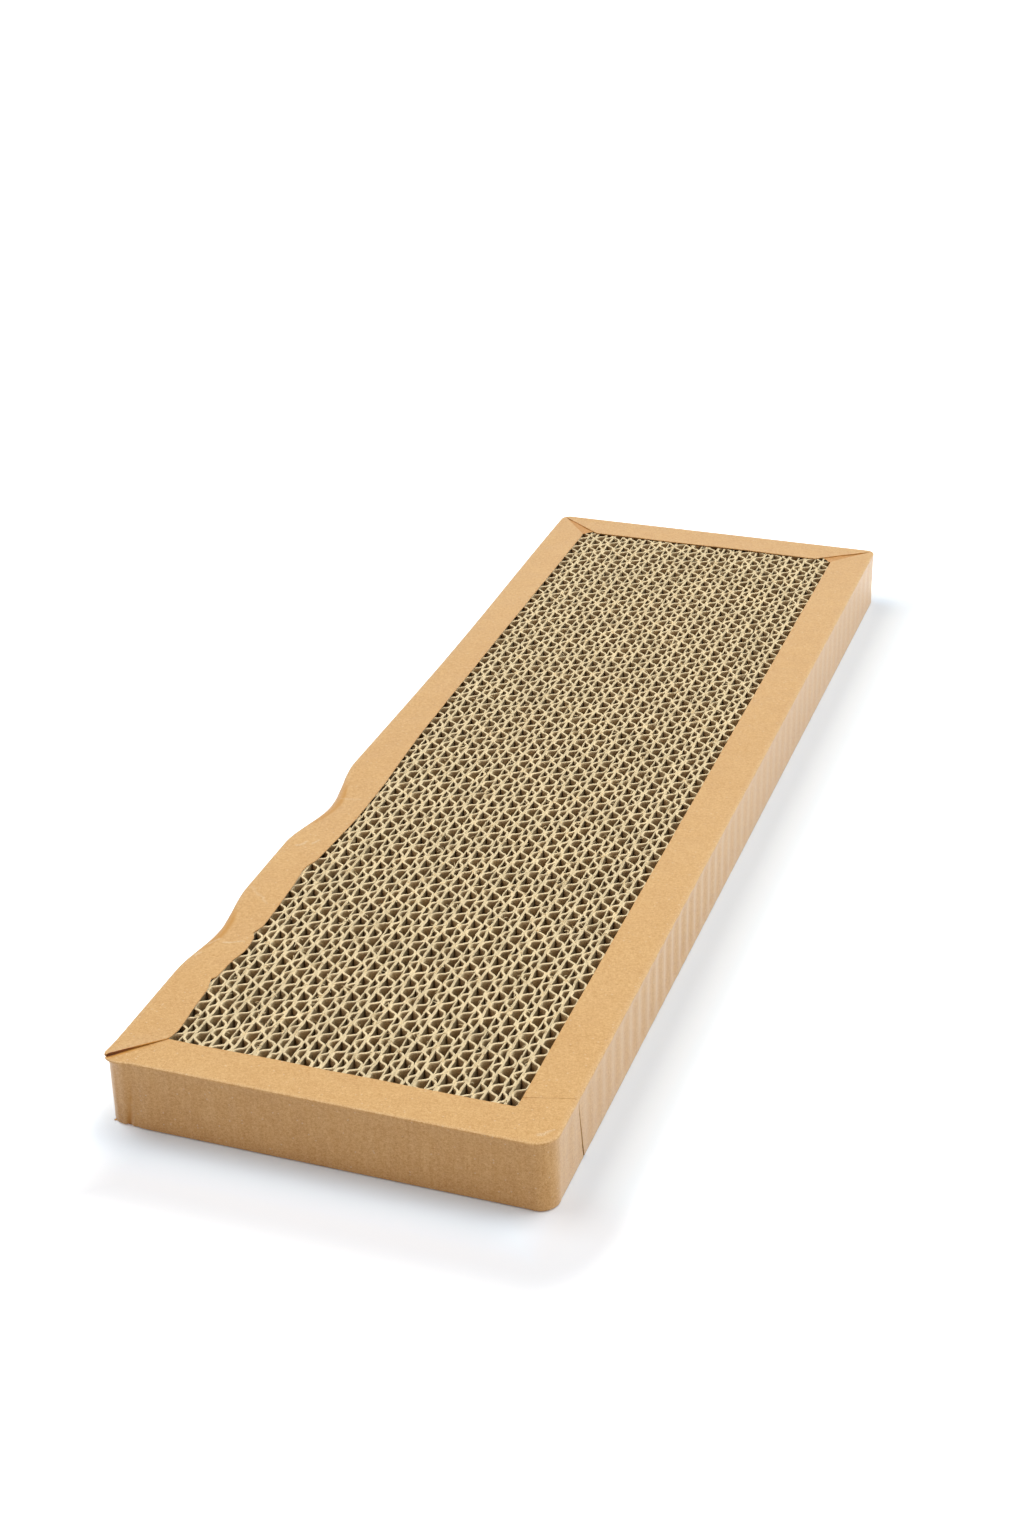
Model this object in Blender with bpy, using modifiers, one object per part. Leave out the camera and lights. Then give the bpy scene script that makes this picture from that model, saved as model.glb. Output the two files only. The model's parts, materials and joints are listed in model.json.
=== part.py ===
"""Flat cat scratcher: strips of corrugated board stood on edge, bound round by one kraft paper tape."""

import math

import bmesh
import bpy

MM = 0.001

# Corrugated board, from left to right: liner, large flutes, middle liner, small flutes, backing liner
LINER_THICKNESS = 0.25 * MM
LARGE_FLUTE_HEIGHT = 3.22 * MM
LARGE_FLUTE_PITCH = 8.0 * MM
SMALL_FLUTE_HEIGHT = 2.08 * MM
SMALL_FLUTE_PITCH = 6.58 * MM
GLUE_LINE = 0.1 * MM

# Core: strips cut from that board, stood side by side with the flutes upright
STRIP_COUNT = 20
COVERED_STRIPS_PER_SIDE = 2
CORE_WIDTH = 123.9 * MM
# The strips that show sit a little right of the middle, and the covered ones are pressed into what is left
FIRST_FLUTED_LEFT = -50.27 * MM
STRIP_LENGTH = 386.0 * MM
STRIP_HEIGHT = 19.6 * MM
FRONT_LEFT_RADIUS = 2.45 * MM
FRONT_RIGHT_RADIUS = 5.95 * MM
BACK_RIGHT_RADIUS = 2.45 * MM
BACK_LEFT_RADIUS = 2.95 * MM

# How far each strip's flutes are shifted along it, as shares of their pitch, from left to right
LARGE_FLUTE_PHASES = (0.35, 0.99, 0.53, 0.48, 0.29, 0.85, 0.83, 0.64,
                      0.45, 0.27, 0.89, 0.25, 0.31, 0.60, 0.74, 0.83)
SMALL_FLUTE_PHASES = (0.86, 0.23, 0.60, 0.53, 0.15, 0.62, 0.57, 0.23,
                      0.82, 0.10, 0.87, 0.44, 0.67, 0.12, 0.39, 0.72)

# Edge tape: one strip of paper round the four sides, folded over the top and the underside
TAPE_THICKNESS = 0.35 * MM
CORE_CLEARANCE = 0.2 * MM
FLAP_WIDTH = 13.65 * MM
# The tape sits a little off centre, so what the upper flap gains the lower one loses
LEFT_FLAP_SHIFT = -0.75 * MM
RIGHT_FLAP_SHIFT = 0.35 * MM
FRONT_FLAP_SHIFT = -0.35 * MM
BACK_FLAP_SHIFT = -0.15 * MM
MITRE_GAP = 0.4 * MM
SEAM_GAP = 0.3 * MM
SEAM_INNER_FROM_FRONT = 17.5 * MM
SEAM_OUTER_FROM_FRONT = 21.3 * MM

# Facets of the rounded corners and folds, and how far a cutter runs past what it cuts
CORNER_FACET = 1.2 * MM
FEWEST_CORNER_FACETS = 3
FOLD_STEPS = 2
CUTTER_MARGIN = 2.0 * MM
SHORTEST_EDGE = 0.01 * MM

# Sizes that follow from those above
MIDDLE_LINER_AT = LINER_THICKNESS + LARGE_FLUTE_HEIGHT + GLUE_LINE
BACKING_LINER_AT = MIDDLE_LINER_AT + LINER_THICKNESS + SMALL_FLUTE_HEIGHT + GLUE_LINE
STRIP_WIDTH = BACKING_LINER_AT + LINER_THICKNESS
STRIP_SPACING = STRIP_WIDTH + GLUE_LINE
FLUTED_STRIPS = STRIP_COUNT - 2 * COVERED_STRIPS_PER_SIDE
LAST_FLUTED_RIGHT = FIRST_FLUTED_LEFT + FLUTED_STRIPS * STRIP_SPACING
TAPE_OFFSET = CORE_CLEARANCE + TAPE_THICKNESS
POCKET_HEIGHT = STRIP_HEIGHT + 2 * CORE_CLEARANCE
OVERALL_WIDTH = CORE_WIDTH + 2 * TAPE_OFFSET
OVERALL_LENGTH = STRIP_LENGTH + 2 * TAPE_OFFSET
OVERALL_HEIGHT = STRIP_HEIGHT + 2 * TAPE_OFFSET
MIDDLE_HEIGHT = OVERALL_HEIGHT / 2
# A fold this round still clears the square edge of the core inside it
INNER_FOLD_RADIUS = 2 * CORE_CLEARANCE
OUTER_FOLD_RADIUS = INNER_FOLD_RADIUS + TAPE_THICKNESS

LEFT, RIGHT = -1, 1
FRONT, BACK = -1, 1
UNDERSIDE, TOP = -1, 1

# Corners anticlockwise in plan from the front right, each with its side in x and y and its radius
CORNERS = (
    (RIGHT, FRONT, FRONT_RIGHT_RADIUS),
    (RIGHT, BACK, BACK_RIGHT_RADIUS),
    (LEFT, BACK, BACK_LEFT_RADIUS),
    (LEFT, FRONT, FRONT_LEFT_RADIUS),
)
# The front right corner is gathered round without a mitre
MITRED_CORNERS = CORNERS[1:]

KRAFT_TAPE_COLOUR = (0.72, 0.45, 0.19)
LINER_COLOUR = (0.55, 0.43, 0.23)
FLUTE_COLOUR = (0.48, 0.38, 0.20)
COVERED_BOARD_COLOUR = (0.52, 0.40, 0.22)


def clear_scene():
    """Remove every object of the start-up scene."""
    for item in list(bpy.data.objects):
        bpy.data.objects.remove(item, do_unlink=True)


def new_collection(name):
    """Collection linked under the scene's own."""
    group = bpy.data.collections.new(name)
    bpy.context.scene.collection.children.link(group)
    return group


def paper(name, colour, roughness):
    """Plain paper material."""
    material = bpy.data.materials.new(name)
    material.use_nodes = True
    shader = material.node_tree.nodes["Principled BSDF"]
    shader.inputs["Base Color"].default_value = (*colour, 1.0)
    shader.inputs["Roughness"].default_value = roughness
    shader.inputs["Metallic"].default_value = 0.0
    return material


def upright_prism(name, outline, height, group):
    """Mesh object of a flat outline in plan, thickened upright about its middle."""
    shape = bmesh.new()
    shape.faces.new([shape.verts.new((x, y, 0.0)) for x, y in outline])
    mesh = bpy.data.meshes.new(name)
    shape.to_mesh(mesh)
    shape.free()
    piece = bpy.data.objects.new(name, mesh)
    group.objects.link(piece)
    thickness = piece.modifiers.new("height", "SOLIDIFY")
    thickness.thickness = height
    thickness.offset = 0.0
    return piece


def as_cutter(piece):
    """Mark an object as a cutter, drawn as wires and left out of the model."""
    piece.hide_render = True
    piece.display_type = "WIRE"
    return piece


def cut(piece, cutter):
    """Take a cutter's volume out of a piece."""
    boolean = piece.modifiers.new(cutter.name, "BOOLEAN")
    boolean.operation = "DIFFERENCE"
    boolean.solver = "EXACT"
    boolean.object = cutter


def round_folds(piece, radius):
    """Round the upper and lower edges of an upright prism."""
    bevel = piece.modifiers.new("folds", "BEVEL")
    bevel.limit_method = "ANGLE"
    bevel.angle_limit = math.radians(60)
    bevel.width = radius
    bevel.segments = FOLD_STEPS


def fluted_number(index):
    """Number of a strip among those that show, which is out of their range for a covered one."""
    return index - COVERED_STRIPS_PER_SIDE


def strip_faces(index):
    """X of the left and right faces of a strip, counted from 0 at the left."""
    number = fluted_number(index)
    if 0 <= number < FLUTED_STRIPS:
        left = FIRST_FLUTED_LEFT + number * STRIP_SPACING
        return left, left + STRIP_WIDTH
    if number < 0:
        start, end, place = -CORE_WIDTH / 2, FIRST_FLUTED_LEFT, index
    else:
        start, end, place = LAST_FLUTED_RIGHT, CORE_WIDTH / 2 + GLUE_LINE, number - FLUTED_STRIPS
    spacing = (end - start) / COVERED_STRIPS_PER_SIDE
    left = start + place * spacing
    return left, left + spacing - GLUE_LINE


def flute_rise(y, pitch, phase):
    """Share of the flute height at a place along the strip, as a triangle wave from 0 to 1."""
    turn = (y / pitch + phase) % 1.0
    return 2 * turn if turn < 0.5 else 2 - 2 * turn


def flute_turns(pitch, phase):
    """Places along the strip where the flutes have their roots and crests, from front to back."""
    half_length = STRIP_LENGTH / 2
    half_pitch = pitch / 2
    first = math.ceil((-half_length / pitch + phase) * 2)
    last = math.floor((half_length / pitch + phase) * 2)
    places = [number * half_pitch - phase * pitch for number in range(first, last + 1)]
    return [y for y in places if abs(y) < half_length - SHORTEST_EDGE]


def fluted_outline(height, pitch, phase):
    """Plan outline of a liner that carries flutes: its flat back at x 0, the flutes towards +X."""
    half_length = STRIP_LENGTH / 2
    outline = [(0.0, half_length), (0.0, -half_length)]
    for y in [-half_length] + flute_turns(pitch, phase) + [half_length]:
        outline.append((LINER_THICKNESS + height * flute_rise(y, pitch, phase), y))
    return outline


def liner_outline():
    """Plan outline of a flat liner, with its left face at x 0."""
    half_length = STRIP_LENGTH / 2
    return [(0.0, half_length), (0.0, -half_length), (LINER_THICKNESS, -half_length),
            (LINER_THICKNESS, half_length)]


def core_outline(offset):
    """Plan outline of the whole core with its rounded corners, grown by an offset."""
    outline = []
    for number, (side_x, side_y, radius) in enumerate(CORNERS):
        centre_x = side_x * (CORE_WIDTH / 2 - radius)
        centre_y = side_y * (STRIP_LENGTH / 2 - radius)
        facets = max(FEWEST_CORNER_FACETS, math.ceil(radius / CORNER_FACET))
        for step in range(facets + 1):
            angle = math.radians(90) * (number - 1 + step / facets)
            outline.append((centre_x + (radius + offset) * math.cos(angle),
                            centre_y + (radius + offset) * math.sin(angle)))
    return outline


def core_between(left, right):
    """Plan outline of the core between two cuts along its length, measured from the left cut."""
    inside = []
    corners = core_outline(0.0)
    for (x0, y0), (x1, y1) in zip(corners, corners[1:] + corners[:1]):
        crossings = [x for x in (left, right) if min(x0, x1) < x - SHORTEST_EDGE
                     and x + SHORTEST_EDGE < max(x0, x1)]
        for x in sorted(crossings, reverse=x1 < x0):
            inside.append((x - left, y0 + (y1 - y0) * (x - x0) / (x1 - x0)))
        if left - SHORTEST_EDGE < x1 < right + SHORTEST_EDGE:
            inside.append((x1 - left, y1))
    return inside


def flap_width(side, face):
    """Width of one flap, on the top or on the underside."""
    shift = {
        "left": LEFT_FLAP_SHIFT,
        "right": RIGHT_FLAP_SHIFT,
        "front": FRONT_FLAP_SHIFT,
        "back": BACK_FLAP_SHIFT,
    }[side]
    return FLAP_WIDTH + face * shift


def opening_corner(side_x, side_y, face):
    """Plan position of one corner of the opening that the flaps leave."""
    across = flap_width("left" if side_x == LEFT else "right", face)
    along = flap_width("front" if side_y == FRONT else "back", face)
    return side_x * (OVERALL_WIDTH / 2 - across), side_y * (OVERALL_LENGTH / 2 - along)


def flap_cutter(name, outline, face, cutters):
    """Cutter through one face's flaps, from the pocket out past the tape."""
    depth = TAPE_OFFSET + CUTTER_MARGIN
    cutter = as_cutter(upright_prism(name, outline, depth, cutters))
    inner_face = STRIP_HEIGHT / 2 + depth / 2
    cutter.location.z = MIDDLE_HEIGHT + face * inner_face
    return cutter


def opening_outline(face):
    """Plan outline of the opening, anticlockwise from the front right."""
    return [opening_corner(side_x, side_y, face) for side_x, side_y, _radius in CORNERS]


def slit_outline(start, end, width):
    """Plan outline of a straight slit between two points."""
    run_x, run_y = end[0] - start[0], end[1] - start[1]
    length = math.hypot(run_x, run_y)
    side_x, side_y = -run_y / length * width / 2, run_x / length * width / 2
    return [(start[0] - side_x, start[1] - side_y), (end[0] - side_x, end[1] - side_y),
            (end[0] + side_x, end[1] + side_y), (start[0] + side_x, start[1] + side_y)]


def mitre_outline(corner, face):
    """Plan outline of the slit between two flaps, from inside the opening to the fold."""
    side_x, side_y, radius = corner
    inner_x, inner_y = opening_corner(side_x, side_y, face)
    fold = (radius + TAPE_OFFSET) * (1 - math.sqrt(0.5)) + OUTER_FOLD_RADIUS
    outer_x = side_x * (OVERALL_WIDTH / 2 - fold)
    outer_y = side_y * (OVERALL_LENGTH / 2 - fold)
    start = (inner_x - side_x * CUTTER_MARGIN, inner_y - side_y * CUTTER_MARGIN)
    return slit_outline(start, (outer_x, outer_y), MITRE_GAP)


def seam_outline():
    """Plan outline of the slit where the tape's two ends meet, across the right side."""
    widest_flap = max(flap_width("right", TOP), flap_width("right", UNDERSIDE))
    slope = (SEAM_OUTER_FROM_FRONT - SEAM_INNER_FROM_FRONT) / widest_flap
    front = -OVERALL_LENGTH / 2
    start = (OVERALL_WIDTH / 2 - widest_flap - CUTTER_MARGIN,
             front + SEAM_INNER_FROM_FRONT - slope * CUTTER_MARGIN)
    end = (OVERALL_WIDTH / 2 + CUTTER_MARGIN, front + SEAM_OUTER_FROM_FRONT + slope * CUTTER_MARGIN)
    return slit_outline(start, end, SEAM_GAP)


def make_tape(parts, cutters):
    """Edge tape: a folded box with a pocket for the core, an opening each way, mitres and a seam."""
    tape = upright_prism("edge_tape", core_outline(TAPE_OFFSET), OVERALL_HEIGHT, parts)
    tape.location.z = MIDDLE_HEIGHT
    round_folds(tape, OUTER_FOLD_RADIUS)
    pocket = as_cutter(upright_prism("core_pocket", core_outline(CORE_CLEARANCE), POCKET_HEIGHT, cutters))
    pocket.location.z = MIDDLE_HEIGHT
    round_folds(pocket, INNER_FOLD_RADIUS)
    cut(tape, pocket)
    for face, label in ((TOP, "top"), (UNDERSIDE, "underside")):
        cut(tape, flap_cutter(label + "_opening", opening_outline(face), face, cutters))
        for number, corner in enumerate(MITRED_CORNERS, 1):
            name = f"{label}_mitre_{number}"
            cut(tape, flap_cutter(name, mitre_outline(corner, face), face, cutters))
    seam = as_cutter(upright_prism("tape_seam", seam_outline(), OVERALL_HEIGHT + CUTTER_MARGIN, cutters))
    seam.location.z = MIDDLE_HEIGHT
    cut(tape, seam)
    tape.data.shade_smooth()
    tape.data.set_sharp_from_angle(angle=math.radians(30))
    tape.data.materials.append(paper("kraft_tape", KRAFT_TAPE_COLOUR, 0.75))
    return [tape]


def make_fluted_strip(label, index, parts):
    """One strip that shows: the two fluted webs and the backing liner, side by side."""
    large_phase = LARGE_FLUTE_PHASES[fluted_number(index)]
    small_phase = SMALL_FLUTE_PHASES[fluted_number(index)]
    layers = (
        ("large_flute_web", 0.0, fluted_outline(LARGE_FLUTE_HEIGHT, LARGE_FLUTE_PITCH, large_phase)),
        ("small_flute_web", MIDDLE_LINER_AT,
         fluted_outline(SMALL_FLUTE_HEIGHT, SMALL_FLUTE_PITCH, small_phase)),
        ("backing_liner", BACKING_LINER_AT, liner_outline()),
    )
    pieces = []
    for layer, offset, outline in layers:
        piece = upright_prism(f"{label}_{layer}", outline, STRIP_HEIGHT, parts)
        piece.location = (strip_faces(index)[0] + offset, 0.0, MIDDLE_HEIGHT)
        pieces.append(piece)
    return pieces


def make_covered_strip(label, index, parts):
    """One outer strip that the tape covers all round, cut to the core's rounded corners."""
    left, right = strip_faces(index)
    outline = core_between(left, right)
    strip = upright_prism(f"{label}_covered_board", outline, STRIP_HEIGHT, parts)
    strip.location = (left, 0.0, MIDDLE_HEIGHT)
    return [strip]


def make_core(parts):
    """All the strips, from left to right."""
    liner = paper("kraft_liner", LINER_COLOUR, 0.85)
    fluting = paper("fluting_medium", FLUTE_COLOUR, 0.9)
    board = paper("covered_board", COVERED_BOARD_COLOUR, 0.85)
    pieces = []
    for index in range(STRIP_COUNT):
        label = f"strip_{index + 1:02d}"
        covered = not 0 <= fluted_number(index) < FLUTED_STRIPS
        make_strip = make_covered_strip if covered else make_fluted_strip
        strip = make_strip(label, index, parts)
        for piece in strip:
            finish = board if covered else liner if piece.name.endswith("liner") else fluting
            piece.data.materials.append(finish)
        pieces += strip
    return pieces


def main():
    """Build the scratcher, standing on its underside with the front end towards -Y."""
    clear_scene()
    parts = new_collection("corrugated_cat_scratcher")
    cutters = new_collection("scratcher_cutters")
    base = bpy.data.objects.new("scratcher_base", None)
    parts.objects.link(base)
    for piece in make_core(parts) + make_tape(parts, cutters):
        piece.parent = base


main()
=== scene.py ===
"""Looks of a flat cat scratcher of corrugated board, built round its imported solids.

The classes hold their sizes in millimetres, in the frame of the solids. Every mesh is made in metres.
"""

import json
import logging
import math
from dataclasses import dataclass, field
from enum import Enum
from typing import Any, Callable, Optional, Sequence, Union

import bmesh
import bpy
import numpy as np
from mathutils import Matrix, Vector, noise

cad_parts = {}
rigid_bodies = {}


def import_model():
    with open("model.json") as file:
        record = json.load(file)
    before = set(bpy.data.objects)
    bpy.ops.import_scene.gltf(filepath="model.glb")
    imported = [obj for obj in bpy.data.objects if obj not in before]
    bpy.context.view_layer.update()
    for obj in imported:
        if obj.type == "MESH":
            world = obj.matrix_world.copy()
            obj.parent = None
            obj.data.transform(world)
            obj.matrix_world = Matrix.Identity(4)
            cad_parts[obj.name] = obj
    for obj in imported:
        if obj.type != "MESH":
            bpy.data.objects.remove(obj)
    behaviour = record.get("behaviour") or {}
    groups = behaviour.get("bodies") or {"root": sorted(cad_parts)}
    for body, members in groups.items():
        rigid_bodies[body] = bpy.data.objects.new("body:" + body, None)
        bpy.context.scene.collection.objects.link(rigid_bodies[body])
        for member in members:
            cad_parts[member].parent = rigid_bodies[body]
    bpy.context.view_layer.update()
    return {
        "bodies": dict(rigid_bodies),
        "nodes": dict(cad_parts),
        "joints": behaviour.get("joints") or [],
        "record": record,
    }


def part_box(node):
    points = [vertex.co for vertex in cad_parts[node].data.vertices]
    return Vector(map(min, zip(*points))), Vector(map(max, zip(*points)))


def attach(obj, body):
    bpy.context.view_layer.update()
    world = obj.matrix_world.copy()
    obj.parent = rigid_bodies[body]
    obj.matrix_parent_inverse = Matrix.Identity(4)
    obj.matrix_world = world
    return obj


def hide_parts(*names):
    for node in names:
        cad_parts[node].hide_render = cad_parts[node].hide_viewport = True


Array = np.ndarray
Material = bpy.types.Material
Mesh = bpy.types.Mesh
Colour = tuple[float, float, float]
Plan = tuple[float, float]
Feed = Union["Wire", float, int, Sequence[float], bpy.types.ID]

LOG = logging.getLogger("scratcher")
MM = 0.001
BODY = "root"
IMAGE_HEIGHT = 1536
SHARP_ANGLE = math.radians(42)
NOISE_MIDDLE = 0.5
WHITE = (1.0, 1.0, 1.0)
QUARTER = math.pi / 2


def math_operator(operation: str, swapped: bool = False) -> Callable[["Wire", Feed], "Wire"]:
    """Make an operator of Wire, which adds a Math node.

    Args:
        operation: The node's operation.
        swapped: Whether the other value comes first.

    Returns:
        The method.
    """

    def method(wire: "Wire", other: Feed) -> "Wire":
        """The operation on the wire and another value."""
        return wire.sheet.maths(operation, *((other, wire) if swapped else (wire, other)))

    return method


class Wire:
    """An output of a node, which takes part in Python expressions on values."""

    def __init__(self, sheet: "NodeSheet", socket: Optional[bpy.types.NodeSocket]) -> None:
        """Keep the socket, and the sheet that its expressions add nodes to."""
        self.sheet = sheet
        self.socket = socket

    __add__ = math_operator("ADD")
    __radd__ = math_operator("ADD", swapped=True)
    __sub__ = math_operator("SUBTRACT")
    __rsub__ = math_operator("SUBTRACT", swapped=True)
    __mul__ = math_operator("MULTIPLY")
    __rmul__ = math_operator("MULTIPLY", swapped=True)
    __truediv__ = math_operator("DIVIDE")
    __pow__ = math_operator("POWER")

    def output(self, name: Union[str, int]) -> "Wire":
        """Another output of the same node."""
        return Wire(self.sheet, self.socket.node.outputs[name])


class NodeSheet:
    """The nodes of one material, world or geometry tree."""

    def __init__(self, tree: bpy.types.NodeTree) -> None:
        """Keep the tree that the nodes go into."""
        self.tree = tree

    def node(
        self,
        kind: str,
        inputs: Optional[dict[Union[str, int], Feed]] = None,
        settings: Optional[dict[str, Any]] = None,
        output: Union[str, int] = 0,
    ) -> Wire:
        """Add one node.

        Args:
            kind: The node's type.
            inputs: Values or wires for its sockets, by name or place.
            settings: Its own settings, which are set first.
            output: The output to hand back.

        Returns:
            The output's wire.
        """
        made = self.tree.nodes.new(kind)
        for name, value in (settings or {}).items():
            setattr(made, name, value)
        for name, value in (inputs or {}).items():
            if isinstance(value, Wire):
                self.tree.links.new(value.socket, made.inputs[name])
            else:
                made.inputs[name].default_value = value
        return Wire(self, made.outputs[output] if len(made.outputs) else None)

    def maths(self, operation: str, *values: Feed) -> Wire:
        """A Math node on one, two or three values."""
        return self.node("ShaderNodeMath", dict(enumerate(values)), {"operation": operation})

    def larger(self, first: Feed, second: Feed) -> Wire:
        """The larger of two values."""
        return self.maths("MAXIMUM", first, second)

    def vector(self, operation: str, *values: Feed) -> Wire:
        """A Vector Math node."""
        return self.node("ShaderNodeVectorMath", dict(enumerate(values)), {"operation": operation})

    def scaled(self, vector: Feed, factor: Feed) -> Wire:
        """A vector or colour times a value."""
        return self.node("ShaderNodeVectorMath", {0: vector, "Scale": factor}, {"operation": "SCALE"})

    def joined(self, x: Feed, y: Feed, z: Feed) -> Wire:
        """A vector from three values."""
        return self.node("ShaderNodeCombineXYZ", {0: x, 1: y, 2: z})

    def plan(self, vector: Wire) -> tuple[Wire, Wire]:
        """The first two values of a vector."""
        x = self.node("ShaderNodeSeparateXYZ", {0: vector})
        return x, x.output("Y")

    def blend(self, factor: Feed, first: Feed, second: Feed) -> Wire:
        """A mix of two colours."""
        return self.node("ShaderNodeMix", {0: factor, 6: first, 7: second}, {"data_type": "RGBA"}, 2)

    def step(self, value: Feed, low: float, high: float) -> Wire:
        """A smooth step of a value, 0 at low and 1 at high."""
        sockets = {"Value": value, "From Min": low, "From Max": high}
        return self.node("ShaderNodeMapRange", sockets, {"interpolation_type": "SMOOTHSTEP"})

    def clamped(self, value: Feed) -> Wire:
        """A value kept from 0 to 1."""
        return self.node("ShaderNodeClamp", {0: value})

    def attribute(self, name: str) -> Wire:
        """A value that the mesh carries at its points."""
        return self.node("ShaderNodeAttribute", {}, {"attribute_name": name}, "Fac")

    def cloud(self, vector: Feed, scale: float, detail: float = 2.0, roughness: float = 0.5) -> Wire:
        """A noise value, about NOISE_MIDDLE on the whole.

        Args:
            vector: Where it is read.
            scale: Clouds to each unit of the vector.
            detail: Layers of finer noise.
            roughness: How strong the finer layers are.

        Returns:
            The noise, which also has a colour.
        """
        sockets = {"Vector": vector, "Scale": scale, "Detail": detail, "Roughness": roughness}
        return self.node("ShaderNodeTexNoise", sockets)

    def seen(self) -> Wire:
        """Whether a ray comes from the camera, straight, by a gloss or through a surface.

        Returns:
            1 for such a ray and 0 for the light that falls on things.
        """
        path = self.node("ShaderNodeLightPath")
        straight = self.larger(path.output("Is Camera Ray"), path.output("Is Glossy Ray"))
        return self.larger(straight, path.output("Is Transmission Ray"))


def rgba(colour: Colour) -> tuple[float, float, float, float]:
    """A colour with full alpha."""
    return (*colour, 1.0)


class Finish:
    """The way every finish becomes a material."""

    name = "finish"

    def material(self) -> Material:
        """Make the finish's material.

        Returns:
            The material, with its nodes in place.
        """
        made = bpy.data.materials.new(self.name)
        made.use_nodes = True
        made.node_tree.nodes.clear()
        sheet = NodeSheet(made.node_tree)
        sheet.node("ShaderNodeOutputMaterial", {"Surface": self.surface(sheet)})
        return made

    def surface(self, sheet: NodeSheet) -> Wire:
        """The shader of the finish."""
        raise NotImplementedError

    @staticmethod
    def millimetres(sheet: NodeSheet) -> Wire:
        """Object coordinates in millimetres."""
        return sheet.scaled(sheet.node("ShaderNodeTexCoord", output="Object"), 1 / MM)


@dataclass(frozen=True)
class PaperNoise:
    """A layer of unevenness in a paper: clouds to the millimetre, and how much it shades and raises it."""

    scale: float
    tone: float = 0.0
    height: float = 0.0
    detail: float = 2.0
    roughness: float = 0.5
    stretch: Colour = (1.0, 1.0, 1.0)

    def read(self, place: Wire) -> Wire:
        """The layer's value at a place in millimetres."""
        spot = place.sheet.vector("MULTIPLY", place, self.stretch)
        return place.sheet.cloud(spot, self.scale, self.detail, self.roughness)


@dataclass(frozen=True)
class PaperShader:
    """What every paper's shader has: its gloss, its sheen, and the strength and depth of its relief."""

    specular: float
    sheen: float
    strength: float
    depth: float

    def make(self, colour: Wire, rough: Wire, height: Wire) -> Wire:
        """Make the shader.

        Args:
            colour: The paper's colour.
            rough: Its roughness.
            height: The height of its fibres.

        Returns:
            The shader.
        """
        relief = {"Strength": self.strength, "Distance": self.depth * MM, "Height": height}
        sockets = {
            "Base Color": colour,
            "Roughness": rough,
            "Specular IOR Level": self.specular,
            "Sheen Weight": self.sheen,
            "Normal": colour.sheet.node("ShaderNodeBump", relief),
        }
        return colour.sheet.node("ShaderNodeBsdfPrincipled", sockets)


def read_layers(place: Wire, *layers: PaperNoise) -> tuple[list[Wire], Wire, Wire]:
    """Read and add up some layers of unevenness.

    Args:
        place: The place in millimetres.
        *layers: The layers.

    Returns:
        Their values, how much they shade the paper, about 0 on the whole, and how high they raise it.
    """
    values = [layer.read(place) for layer in layers]
    shade = sum((value - NOISE_MIDDLE) * layer.tone for layer, value in zip(layers, values))
    return values, shade, sum(value * layer.height for layer, value in zip(layers, values))


@dataclass(frozen=True)
class Flecks:
    """Small round flecks in some cells of a scattered grid: cells to the millimetre, radius in cells."""

    scale: float
    radius: float
    strength: float
    shift: Colour = (0.0, 0.0, 0.0)
    soft: Plan = (1.5, 0.7)
    chosen: Plan = (0.55, 0.6)

    def mask(self, place: Wire) -> Wire:
        """How much of a fleck a place has.

        Args:
            place: The place in millimetres.

        Returns:
            The flecks' strength in a fleck and 0 elsewhere.
        """
        sheet = place.sheet
        sockets = {"Vector": sheet.vector("ADD", place, self.shift), "Scale": self.scale}
        cells = sheet.node("ShaderNodeTexVoronoi", sockets, output="Distance")
        chance = sheet.node("ShaderNodeSeparateColor", {0: cells.output("Color")})
        inside = sheet.step(cells, self.radius * self.soft[0], self.radius * self.soft[1])
        return inside * sheet.step(chance, *self.chosen) * self.strength


@dataclass(frozen=True)
class Crease:
    """A short crease in the tape, in plan: from x and y, to x and y, its width and its strength."""

    start: Plan
    end: Plan
    width: float
    strength: float

    def mask(self, place: Wire) -> Wire:
        """How much of the crease a point has.

        Args:
            place: The point in millimetres, flat on the board.

        Returns:
            A value up to the crease's strength.
        """
        sheet = place.sheet
        run = (self.end[0] - self.start[0], self.end[1] - self.start[1], 0.0)
        offset = sheet.vector("SUBTRACT", place, (*self.start, 0.0))
        dot = sheet.vector("DOT_PRODUCT", offset, run).output("Value")
        share = sheet.clamped(dot / (run[0] ** 2 + run[1] ** 2))
        miss = sheet.vector("SUBTRACT", offset, sheet.scaled(run, share))
        away = sheet.vector("LENGTH", miss).output("Value")
        return (1.0 - sheet.step(away, 0.0, self.width)) * self.strength


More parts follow.
